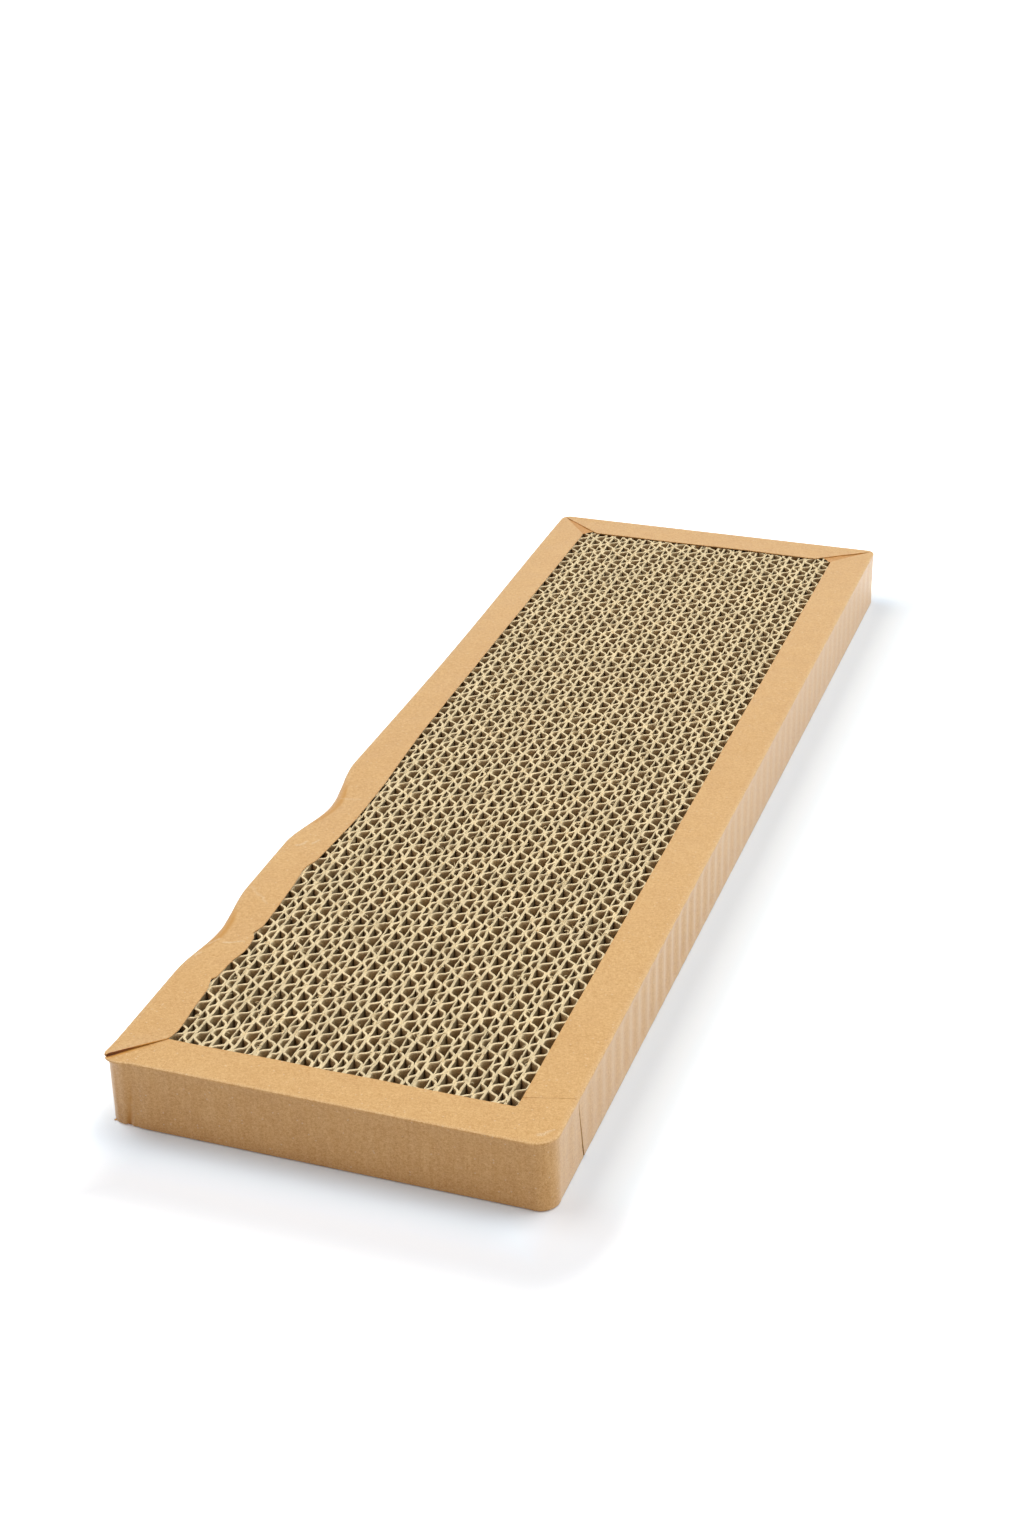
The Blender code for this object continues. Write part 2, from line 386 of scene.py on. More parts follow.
@dataclass(frozen=True)
class KraftTapeFinish(Finish):
    """Brown kraft paper tape: cloudy, flecked with fibres, with a low sheen and pale creases."""

    name: str = "kraft_tape_paper"
    colour: Colour = (0.722, 0.425, 0.145)
    deep: Colour = (0.58, 0.30, 0.085)
    pale: Colour = (0.86, 0.69, 0.44)
    # Darker where the crush attribute is high: crushed paper at the dents, with painted shade on the dented
    # fold, in the front creases and at the flaps' inner edges.
    crush_and_shade: Colour = (0.6, 0.265, 0.012)
    # A painted shadow in the slit at the front left mitre, deeper than the crushed colour.
    slit_shadow: Colour = (0.26, 0.065, 0.012)
    creases: tuple[Crease, ...] = ()
    shader: PaperShader = PaperShader(0.45, 0.46, 0.5, 0.12)
    formation: PaperNoise = PaperNoise(0.21, 0.1, 0.5, 3.0, 0.55)
    grain: PaperNoise = PaperNoise(2.8, 0.6, 0.35, 2.0, 0.6)
    blotch: PaperNoise = PaperNoise(0.022, 0.12)
    mottle: PaperNoise = PaperNoise(1.25, 0.36, detail=1.0)
    strands: PaperNoise = PaperNoise(1.4, 0.3, 0.3, 1.0, stretch=(0.55, 2.6, 2.6))
    streaks: PaperNoise = PaperNoise(1.0, 0.24, stretch=(0.9, 0.9, 0.06))
    shade_tint: Colour = (0.7, 1.25, 2.3)
    deep_mix: Plan = (0.25, 0.75)
    deep_reach: Plan = (0.56, 0.36)
    deep_share: float = 0.28
    pale_flecks: Flecks = Flecks(0.62, 0.13, 0.5)
    deep_flecks: Flecks = Flecks(0.45, 0.1, 0.45, (71.0, 13.0, 29.0))
    crush_and_shade_reach: Plan = (0.1, 0.7)
    slit_shadow_reach: Plan = (0.75, 0.95)
    mark_share: float = 0.9
    # Paler along the folds: wear, and a painted highlight on the fold edges.
    wear_and_highlight_reach: Plan = (0.3, 0.62)
    wear_and_highlight_share: float = 0.3
    crease_wander: Plan = (0.3, 2.4)
    crease_reach: Plan = (0.32, 0.6)
    crease_height: float = 0.8
    roughness: float = 0.45
    formation_roughness: float = 0.16
    wear_and_highlight_roughness: float = 0.2

    def surface(self, sheet: NodeSheet) -> Wire:
        """The shader of the tape.

        Args:
            sheet: The material's nodes.

        Returns:
            The shader.
        """
        place = self.millimetres(sheet)
        layers = (self.formation, self.grain, self.blotch, self.mottle, self.strands, self.streaks)
        (formation, grain, *_), shade, height = read_layers(place, *layers)
        deep = sheet.step(formation * self.deep_mix[0] + grain * self.deep_mix[1], *self.deep_reach)
        colour = sheet.blend(deep * self.deep_share, rgba(self.colour), rgba(self.deep))
        shades = sheet.vector("ADD", WHITE, sheet.scaled(self.shade_tint, shade))
        colour = sheet.vector("MULTIPLY", colour, shades)
        for flecks, tint in ((self.pale_flecks, self.pale), (self.deep_flecks, self.deep)):
            colour = sheet.blend(flecks.mask(place), colour, rgba(tint))
        # Painted shade: the crush attribute darkens the dents, the front creases and the flaps' inner edges,
        # and paints the mitre's slit as a shadow.
        crush_and_shade = sheet.attribute("crush_and_shade")
        for reach, tint in ((self.crush_and_shade_reach, self.crush_and_shade), (self.slit_shadow_reach, self.slit_shadow)):
            colour = sheet.blend(sheet.step(crush_and_shade, *reach) * self.mark_share, colour, rgba(tint))
        # Paler along the folds: partly wear, partly a painted highlight on the fold edges.
        wear_and_highlight = sheet.attribute("wear_and_highlight") * sheet.step(grain, *self.wear_and_highlight_reach)
        creased = self.creased(place) * sheet.step(grain, *self.crease_reach)
        pale = sheet.larger(wear_and_highlight * self.wear_and_highlight_share, creased)
        colour = sheet.blend(pale, colour, rgba(self.pale))
        rough = self.roughness + (formation - NOISE_MIDDLE) * self.formation_roughness
        rough = rough + pale * self.wear_and_highlight_roughness
        return self.shader.make(colour, rough, height + creased * self.crease_height)

    def creased(self, place: Wire) -> Wire:
        """The creases of the tape, which wander a little.

        Args:
            place: The point in millimetres.

        Returns:
            A value from 0 to 1.
        """
        sheet = place.sheet
        scale, size = self.crease_wander
        wander = sheet.vector("SUBTRACT", sheet.cloud(place, scale).output("Color"), (NOISE_MIDDLE,) * 3)
        spot = sheet.vector("ADD", place, sheet.scaled(wander, size))
        flat = sheet.vector("MULTIPLY", spot, (1.0, 1.0, 0.0))
        total: Feed = 0.0
        for crease in self.creases:
            total = sheet.larger(total, crease.mask(flat))
        return sheet.clamped(total)


@dataclass(frozen=True)
class BoardPaperFinish(Finish):
    """Recycled board paper: dull walls, and a paler, fuzzy cut edge."""

    name: str = "board_paper"
    wall: Colour = (0.27, 0.21, 0.115)
    cut: Colour = (0.8, 0.665, 0.41)
    cut_reach: Plan = (0.35, 0.9)
    cut_fray: float = 0.7
    shader: PaperShader = PaperShader(0.25, 0.0, 0.6, 0.15)
    grain: PaperNoise = PaperNoise(2.2, 0.9, 1.0, 2.0, 0.65)
    patch: PaperNoise = PaperNoise(0.09, 0.4)
    fuzz: PaperNoise = PaperNoise(4.5, 0.0, 0.5)
    roughness: float = 0.9
    grain_roughness: float = 0.12

    def surface(self, sheet: NodeSheet) -> Wire:
        """The shader of the board's papers.

        Args:
            sheet: The material's nodes.

        Returns:
            The shader.
        """
        place = self.millimetres(sheet)
        (grain, *_), shade, height = read_layers(place, self.grain, self.patch, self.fuzz)
        grain = grain - NOISE_MIDDLE
        edge = sheet.step(sheet.attribute("cut") + grain * self.cut_fray, *self.cut_reach)
        colour = sheet.scaled(sheet.blend(edge, rgba(self.wall), rgba(self.cut)), 1.0 + shade)
        return self.shader.make(colour, self.roughness + grain * self.grain_roughness, height)


@dataclass(frozen=True)
class FloorFinish(Finish):
    """A white studio floor that keeps the soft shadow beside the board and is plain white beyond it."""

    name: str = "studio_floor"
    albedo: Colour = (0.8, 0.8, 0.8)
    seen_near: Colour = (0.905, 1.035, 1.15)
    seen_far: Colour = (0.91, 0.935, 0.96)
    right_near: Colour = (0.84, 0.945, 1.05)
    right_far: Colour = (0.945, 1.02, 1.075)
    half_sizes: Plan = (62.5, 193.5)
    tint_reach: Plan = (3.0, 22.0)
    corner_reach: Plan = (-14.0, 4.0)
    right_reach: Plan = (-4.0, 2.0)
    right_start: Plan = (-4.0, 16.0)
    white_reach: Plan = (22.0, 60.0)
    left_reach: Plan = (47.0, 92.0)
    right_rate: float = 1.6
    back_rate: float = 4.0
    left_rates: Plan = (1.6, 6.0)
    left_run: float = 75.0

    def surface(self, sheet: NodeSheet) -> Wire:
        """The shader of the floor.

        Args:
            sheet: The material's nodes.

        Returns:
            The shader.
        """
        across, along = sheet.plan(self.millimetres(sheet))
        away = self.away(across, along)
        matt = sheet.node("ShaderNodeBsdfDiffuse", {"Color": rgba(self.albedo)})
        bright = sheet.node("ShaderNodeBsdfDiffuse", {"Color": self.tint(away, across, along)})
        # Where the floor is seen it glows white away from the board and on its left: painted light that fades
        # out the board's shadow.
        left = sheet.step(-1.0 * across, *self.left_reach)
        white = sheet.larger(sheet.step(away, *self.white_reach), left)
        glow = sheet.node("ShaderNodeEmission", {"Color": sheet.joined(white, white, white)})
        lit = sheet.node("ShaderNodeAddShader", {0: bright, 1: glow})
        return sheet.node("ShaderNodeMixShader", {0: sheet.seen(), 1: matt, 2: lit})

    def tint(self, away: Wire, across: Wire, along: Wire) -> Wire:
        """The floor's colour where it is seen, which evens out the warm light that the board throws on it.

        Args:
            away: How far out of the shadow the place is.
            across: The place across the board.
            along: The place along it.

        Returns:
            The colour.
        """
        sheet = away.sheet
        beyond, behind = across - self.half_sizes[0], along + self.half_sizes[1]
        far = sheet.step(away, *self.tint_reach)
        corner = sheet.larger(far, sheet.step(beyond, *self.corner_reach))
        front = sheet.blend(corner, rgba(self.seen_near), rgba(self.seen_far))
        right = sheet.blend(far, rgba(self.right_near), rgba(self.right_far))
        beside = sheet.step(beyond, *self.right_reach) * sheet.step(behind, *self.right_start)
        return sheet.blend(beside, front, right)

    def away(self, across: Wire, along: Wire) -> Wire:
        """How far out of the shadow a place on the floor is, counted faster on sides that have less of it.

        Args:
            across: The place across the board.
            along: The place along it.

        Returns:
            The distance, in millimetres at the front.
        """
        sheet = across.sheet
        wide, long = self.half_sizes
        left_rate = self.left_rates[0] + sheet.step(along + long, 0.0, self.left_run) * self.left_rates[1]
        aside = sheet.larger(across - wide, 0.0) * self.right_rate
        aside = aside + sheet.larger(-1.0 * across - wide, 0.0) * left_rate
        ahead = sheet.larger(-1.0 * along - long, 0.0) + sheet.larger(along - long, 0.0) * self.back_rate
        return (aside * aside + ahead * ahead) ** 0.5


def in_scene(name: str, data: bpy.types.ID) -> bpy.types.Object:
    """Put a mesh, a lamp or a camera in the scene.

    Args:
        name: The object's name.
        data: Its mesh, lamp or camera.

    Returns:
        The object.
    """
    made = bpy.data.objects.new(name, data)
    bpy.context.scene.collection.objects.link(made)
    return made


def flatten(carrier: bpy.types.Object, name: str, thickness: float, offset: float = 0.0) -> Mesh:
    """Turn an object with modifiers into a plain mesh, smooth but for its sharp edges, and remove it.

    Args:
        carrier: The object.
        name: The mesh's name.
        thickness: The thickness that its sheets get, in millimetres, or 0.
        offset: -1 for a thickness to one side of the sheet, and 0 for one about its middle.

    Returns:
        The mesh.
    """
    if thickness:
        solid = carrier.modifiers.new("thickness", "SOLIDIFY")
        solid.thickness = thickness * MM
        solid.offset = offset
        solid.use_quality_normals = True
        solid.use_even_offset = False
    graph = bpy.context.evaluated_depsgraph_get()
    made = bpy.data.meshes.new_from_object(carrier.evaluated_get(graph))
    made.name = name
    spent = carrier.data
    bpy.data.objects.remove(carrier)
    bpy.data.meshes.remove(spent)
    made.polygons.foreach_set("use_smooth", np.ones(len(made.polygons), dtype=bool))
    made.set_sharp_from_angle(angle=SHARP_ANGLE)
    return made


class GeometryTree:
    """A Geometry Nodes tree with named inputs."""

    def __init__(self, name: str, inputs: dict[str, str]) -> None:
        """Start the tree.

        Args:
            name: The tree's name.
            inputs: The type of each named input.
        """
        self.tree = bpy.data.node_groups.new(name, "GeometryNodeTree")
        self.sheet = NodeSheet(self.tree)
        self.identifiers: dict[str, str] = {}
        for label, kind in inputs.items():
            socket = self.tree.interface.new_socket(name=label, in_out="INPUT", socket_type=kind)
            self.identifiers[label] = socket.identifier
        self.tree.interface.new_socket(name="Geometry", in_out="OUTPUT", socket_type="NodeSocketGeometry")
        self.entry = self.sheet.node("NodeGroupInput")

    def value(self, label: str) -> Wire:
        """The wire of a named input."""
        return self.entry.output(label)

    def close(self, geometry: Wire) -> None:
        """End a tree that other trees use."""
        self.sheet.node("NodeGroupOutput", {"Geometry": geometry})

    def finish(self, geometry: Wire) -> None:
        """End a tree that makes a piece, with real geometry and its material.

        Args:
            geometry: What the tree has made.
        """
        real = self.sheet.node("GeometryNodeRealizeInstances", {0: geometry})
        sockets = {"Geometry": real, "Material": self.value("Material")}
        self.close(self.sheet.node("GeometryNodeSetMaterial", sockets))

    def mesh(
        self, name: str, values: dict[str, Any], thickness: float = 0.0, seed: Optional[Mesh] = None
    ) -> Mesh:
        """Run the tree and keep its result as a plain mesh.

        Args:
            name: The mesh's name.
            values: The tree's inputs by name.
            thickness: Thickness that the sheets get, in millimetres.
            seed: The mesh that the tree starts from.

        Returns:
            The mesh, with no modifier left.
        """
        carrier = in_scene(name + "_tree", seed or bpy.data.meshes.new(name + "_seed"))
        modifier = carrier.modifiers.new("tree", "NODES")
        modifier.node_group = self.tree
        for label, value in values.items():
            modifier[self.identifiers[label]] = value
        return flatten(carrier, name, thickness)


def points_of(mesh: Mesh) -> Array:
    """A mesh's points, in millimetres.

    Args:
        mesh: The mesh.

    Returns:
        The points.
    """
    flat = np.zeros(len(mesh.vertices) * 3, dtype=np.float32)
    mesh.vertices.foreach_get("co", flat)
    return flat.reshape(-1, 3).astype(float) / MM


def place_piece(name: str, mesh: Mesh, slot: str, nodes: Sequence[str] = ()) -> None:
    """Put a finished mesh in the scene as a piece of the object.

    Args:
        name: The piece's name.
        mesh: Its mesh, in place and with its material.
        slot: The record's material slot.
        nodes: The solids that it stands for.
    """
    piece = in_scene(name, mesh)
    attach(piece, BODY)
    if nodes:
        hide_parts(*nodes)
    mesh.calc_loop_triangles()
    LOG.info("%s: %d triangles, slot %s", name, len(mesh.loop_triangles), slot)


def bump(distance: Array) -> Array:
    """A smooth hump: 1 at distance 0, and 0 from distance 1 on."""
    inside = np.clip(1.0 - np.abs(distance), 0.0, 1.0)
    return inside * inside * (3.0 - 2.0 * inside)


@dataclass(frozen=True)
class Ripple:
    """Smooth noise: its wavelength, a number that gives each use its own noise, and its size."""

    length: float
    layer: float
    size: float

    def at(self, points: Array) -> Array:
        """The noise at places in millimetres, about 0 on the whole.

        Args:
            points: The places.

        Returns:
            The noise at each place.
        """
        places = points.reshape(-1, 3) / self.length + self.layer
        values = [noise.noise(Vector(place)) for place in places]
        return np.array(values).reshape(points.shape[:-1]) * self.size


@dataclass(frozen=True)
class CrushedEdge:
    """The long left edge, which is knocked in at two places near the front and bows in behind them."""

    half_width: float
    half_length: float
    height: float
    reach: float = 14.0
    fade: float = 1.3
    dents: tuple[tuple[float, float, float], ...] = ((67.0, 23.0, 2.0), (144.0, 27.0, 3.3))
    bow: tuple[float, float, float] = (255.0, 130.0, 0.9)
    low_share: float = 0.35
    sink: float = 0.16
    sink_from: float = 0.4
    slump: Plan = (0.45, 0.25)
    slump_fade: int = 9

    def depth(self, y: Array) -> Array:
        """How far the top edge is pushed in, at places along the board."""
        along = y + self.half_length
        return sum(deep * bump((along - centre) / half) for centre, half, deep in (*self.dents, self.bow))

    def crease(self, y: Array) -> Array:
        """How near places along the board are to the middle of a dent, from 0 to 1."""
        along = y + self.half_length
        return np.max([bump((along - centre) / half) for centre, half, _ in self.dents], axis=0)

    def rise_share(self, z: Array) -> Array:
        """The share of the depth that is left at a height: all at the top and less below."""
        up = np.clip(z / self.height, 0.0, 1.0)
        return self.low_share + (1.0 - self.low_share) * up * up

    def sink_share(self, z: Array) -> Array:
        """The share of the sinking at a height: all at the top and none in the lower part."""
        upper = 1.0 - self.sink_from
        return np.clip(z / self.height - self.sink_from, 0.0, upper) / upper

    def press(self, points: Array) -> Array:
        """Push the board's points in where the edge is crushed.

        Args:
            points: Places in millimetres.

        Returns:
            The places after the push.
        """
        x, y, z = points.T
        hold = np.clip(1.0 - (x + self.half_width) / self.reach, 0.0, 1.0)
        depth = self.depth(y)
        slump = (self.slump[0] * depth + self.slump[1]) * hold**self.slump_fade
        moved = points.copy()
        moved[:, 0] += depth * self.rise_share(z) * hold**self.fade
        moved[:, 2] -= (self.sink * depth * hold + slump) * self.sink_share(z)
        return moved


@dataclass(frozen=True)
class PaperSheet:
    """One paper of the board: flat, or with a rise that makes it a fluted medium."""

    left: float
    thickness: float
    rise: float = 0.0
    pitch: float = 8.0
    phase: float = 0.0


@dataclass(frozen=True)
class BoardBuild:
    """The strips of double-wall board: where each stands, and its papers with their two flutes."""

    strips: int = 20
    covered: int = 2
    strip_pitch: float = 6.35
    first_left: float = -50.27
    covered_reach: float = 61.2
    half_length: float = 192.0
    bottom: float = 0.55
    height: float = 19.6
    liner_paper: float = 0.38
    medium_paper: float = 0.6
    glue_press: float = 0.11
    liner_places: tuple[float, float, float] = (0.15, 3.7, 6.15)
    large_pitch: float = 8.0
    small_pitch: float = 6.58
    large_phases: tuple[float, ...] = (
        0.35, 0.99, 0.53, 0.48, 0.29, 0.85, 0.83, 0.64, 0.45, 0.27, 0.89, 0.25, 0.31, 0.60, 0.74, 0.83,
    )  # fmt: skip
    small_phases: tuple[float, ...] = (
        0.86, 0.23, 0.60, 0.53, 0.15, 0.62, 0.57, 0.23, 0.82, 0.10, 0.87, 0.44, 0.67, 0.12, 0.39, 0.72,
    )  # fmt: skip
    squareness: float = 2.7
    rows: int = 5
    large_columns_per_flute: int = 20
    small_columns_per_flute: int = 16
    liner_column: float = 0.75

    @property
    def showing(self) -> int:
        """How many strips show in the opening."""
        return self.strips - 2 * self.covered

    def shows(self, index: int) -> bool:
        """Whether a strip shows in the opening."""
        return 0 <= index - self.covered < self.showing

    def stand(self, index: int) -> tuple[float, float]:
        """Where a strip stands.

        Args:
            index: The strip's number from the left, from 0.

        Returns:
            Its left face, and how far it is pressed together, as a share of its width.
        """
        number = index - self.covered
        if self.shows(index):
            return self.first_left + number * self.strip_pitch, 1.0
        if number < 0:
            start, end, number = -self.covered_reach, self.first_left, index
        else:
            start, end = self.first_left + self.showing * self.strip_pitch, self.covered_reach
            number -= self.showing
        spacing = (end - start) / self.covered
        return start + number * spacing, spacing / self.strip_pitch

    def papers(self, index: int) -> dict[str, tuple[PaperSheet, ...]]:
        """A strip's papers.

        Args:
            index: The strip's number from the left, from 0.

        Returns:
            The papers of each of its three layers, by the layer's name.
        """
        left, press = self.stand(index)
        number = (index - self.covered) % self.showing
        spare = (self.liner_paper + self.medium_paper) / 2 - self.glue_press
        liners = [PaperSheet(left + at * press, self.liner_paper) for at in self.liner_places]
        flutes = ((self.large_pitch, self.large_phases), (self.small_pitch, self.small_phases))
        media = []
        for near, far, (pitch, phases) in zip(liners, liners[1:], flutes):
            foot = near.left + spare
            media.append(PaperSheet(foot, self.medium_paper, far.left - spare - foot, pitch, phases[number]))
        return {
            "large_flute_web": (liners[0], media[0]),
            "small_flute_web": (liners[1], media[1]),
            "backing_liner": (liners[2],),
        }


@dataclass(frozen=True)
class Waver:
    """Unevenness of a paper on edge: clouds to the millimetre both ways, the noise's layer, and its size."""

    along: float
    across: float
    layer: float
    size: float
    layer_by_side: float = 0.0

    def read(self, along: Wire, across: Wire, side: Wire) -> Wire:
        """The unevenness at a place.

        Args:
            along: The place along the board.
            across: The place across it.
            side: 1 in the upper half of the paper and -1 in the lower half.

        Returns:
            A value about 0 on the whole.
        """
        sheet = along.sheet
        spot = sheet.joined(along * self.along, across * self.across, side * self.layer_by_side + self.layer)
        return (sheet.cloud(spot, 1.0) - NOISE_MIDDLE) * self.size


class CorrugatedTrees:
    """The trees that make the board's papers."""

    SIZES = ("Start", "End", "Bottom", "Height", "Left", "Rise", "Pitch", "Phase", "Squareness")
    COUNTS = ("Columns", "Rows")
    SHEET = {**dict.fromkeys(SIZES, "NodeSocketFloat"), **dict.fromkeys(COUNTS, "NodeSocketInt")}
    ROW_CROWDING = 4.3
    RIM_REACH = (0.9, 0.99)
    ROUNDING = 4.0
    DRIFT = Waver(0.03, 0.05, 0.0, 0.12)
    SLACK = Waver(0.075, 1.7, 7.0, 1.0)
    SLACK_REACH = (0.05, 0.25)
    SLACK_SHARE = 0.22
    SWAY = Waver(0.035, 0.06, 31.0, 0.7)
    LEAN = Waver(0.16, 0.3, 60.0, 1.3, 4.0)
    LEAN_CROWDING = 6.0
    FRAY = Waver(0.9, 1.3, 90.0, 0.55, 5.0)
    WOBBLE = Waver(0.8, 0.9, 20.0, 0.5, 3.0)

    def __init__(self) -> None:
        """Build the sheet that every paper uses, and the tree for one paper."""
        self.sheet = self.build_sheet()
        self.paper = self.build_paper()

    def build_sheet(self) -> GeometryTree:
        """A paper on edge, as a thin sheet.

        Returns:
            The tree. Its sizes are in millimetres.
        """
        tree = GeometryTree("paper_on_edge", self.SHEET)
        s = tree.sheet
        start, end, bottom, height, left, rise, pitch, phase, square = map(tree.value, self.SIZES)
        columns, rows = map(tree.value, self.COUNTS)
        sockets = {"Size X": end - start, "Size Y": 2.0, "Vertices X": columns, "Vertices Y": rows}
        grid = s.node("GeometryNodeMeshGrid", sockets)
        from_middle, level = s.plan(s.node("GeometryNodeInputPosition"))
        along = from_middle + (start + end) * 0.5
        side, reach = s.maths("SIGN", level), s.maths("ABSOLUTE", level)
        spread = side * (1.0 - (1.0 - reach) ** self.ROW_CROWDING)
        rim = s.step(reach, *self.RIM_REACH)
        turn = along / pitch + phase + self.DRIFT.read(along, left, side)
        slope = s.maths("ARCSINE", s.maths("COSINE", turn * math.tau)) / QUARTER * square
        swing = slope / (1.0 + slope**self.ROUNDING) ** (1 / self.ROUNDING)
        slack = s.step(self.SLACK.read(along, left, side), *self.SLACK_REACH)
        across = left + rise * (1.0 - slack * self.SLACK_SHARE) * (0.5 - swing * 0.5)
        sway, lean, fray, wobble = (
            waver.read(along, across, side) for waver in (self.SWAY, self.LEAN, self.FRAY, self.WOBBLE)
        )
        x = across + sway + lean * reach**self.LEAN_CROWDING + wobble * rim
        z = bottom + height * 0.5 * (spread + 1.0) + fray * rim
        sockets = {"Geometry": grid, "Name": "cut", "Value": rim}
        kept_at = {"data_type": "FLOAT", "domain": "POINT"}
        marked = s.node("GeometryNodeStoreNamedAttribute", sockets, kept_at)
        place = s.scaled(s.joined(x, along, z), MM)
        tree.close(s.node("GeometryNodeSetPosition", {"Geometry": marked, "Position": place}))
        return tree

    def build_paper(self) -> GeometryTree:
        """One paper, made real and dressed.

        Returns:
            The tree.
        """
        tree = GeometryTree("board_paper", {**self.SHEET, "Material": "NodeSocketMaterial"})
        inputs = {label: tree.value(label) for label in self.SHEET}
        tree.finish(tree.sheet.node("GeometryNodeGroup", inputs, {"node_tree": self.sheet.tree}))
        return tree


@dataclass
class CorrugatedCore:
    """The strips of double-wall board, stood on edge side by side."""

    build: BoardBuild
    edge: CrushedEdge
    medium: Material
    liner: Material
    half_width: float = 61.95
    corner_radii: tuple[float, float, float, float] = (5.0, 2.95, 5.95, 2.45)
    opening: Plan = (47.5, 179.0)
    cut_depth: float = 0.3
    trees: CorrugatedTrees = field(default_factory=CorrugatedTrees)

    SLOTS = {"backing_liner": "kraft_liner", "covered_board": "covered_board"}

    def make(self) -> Array:
        """Make every strip and put it in the scene.

        Returns:
            The points of the cut edges in the opening.
        """
        cut_edges = []
        for index in range(self.build.strips):
            layers = self.build.papers(index)
            if not self.build.shows(index):
                layers = {"covered_board": sum(layers.values(), ())}
            cut_edges += [self.piece(index, kind, papers) for kind, papers in layers.items()]
        return np.concatenate(cut_edges)

    def piece(self, index: int, kind: str, papers: Sequence[PaperSheet]) -> Array:
        """Make one piece from its papers.

        Args:
            index: The strip's number from the left, from 0.
            kind: The layer's name.
            papers: The layer's papers.

        Returns:
            The points of its cut edges in the opening.
        """
        node = f"strip_{index + 1:02d}_{kind}"
        name = node + "_papers"
        mesh = join_meshes(name, [self.paper_mesh(f"{node}_{i}", paper) for i, paper in enumerate(papers)])
        points = points_of(mesh)
        if index <= self.build.covered:
            points = self.edge.press(points)
            mesh.vertices.foreach_set("co", (points * MM).astype(np.float32).ravel())
            mesh.update()
        place_piece(name, mesh, self.SLOTS.get(kind, "fluting_medium"), (node,))
        inside = np.all(np.abs(points[:, :2]) < self.opening, axis=1)
        return points[inside & (points[:, 2] > self.build.bottom + self.build.height - self.cut_depth)]

    def paper_mesh(self, name: str, paper: PaperSheet) -> Mesh:
        """Make one paper with its thickness.

        Args:
            name: The mesh's name.
            paper: The paper.

        Returns:
            The mesh.
        """
        build = self.build
        start, end = self.ends(paper)
        fluted = paper.rise > 0
        large = paper.pitch == build.large_pitch
        per_flute = build.large_columns_per_flute if large else build.small_columns_per_flute
        spacing = paper.pitch / per_flute if fluted else build.liner_column
        values = {
            "Start": start,
            "End": end,
            "Bottom": build.bottom,
            "Height": build.height,
            "Left": paper.left,
            "Rise": paper.rise,
            "Pitch": paper.pitch,
            "Phase": paper.phase,
            "Squareness": build.squareness,
            "Columns": round((end - start) / spacing) + 1,
            "Rows": build.rows,
            "Material": self.medium if fluted else self.liner,
        }
        return self.trees.paper.mesh(name, values, paper.thickness)

    def ends(self, paper: PaperSheet) -> Plan:
        """Where a paper starts and ends along the board, clear of the rounded corners.

        Args:
            paper: The paper.

        Returns:
            Its front and back ends.
        """
        left_in = max(self.half_width + paper.left - paper.thickness / 2, 0.0)
        right_in = max(self.half_width - paper.left - paper.rise - paper.thickness / 2, 0.0)
        front_left, back_left, front_right, back_right = self.corner_radii
        front = max(corner_cut(left_in, front_left), corner_cut(right_in, front_right))
        back = max(corner_cut(left_in, back_left), corner_cut(right_in, back_right))
        return -self.build.half_length + front, self.build.half_length - back


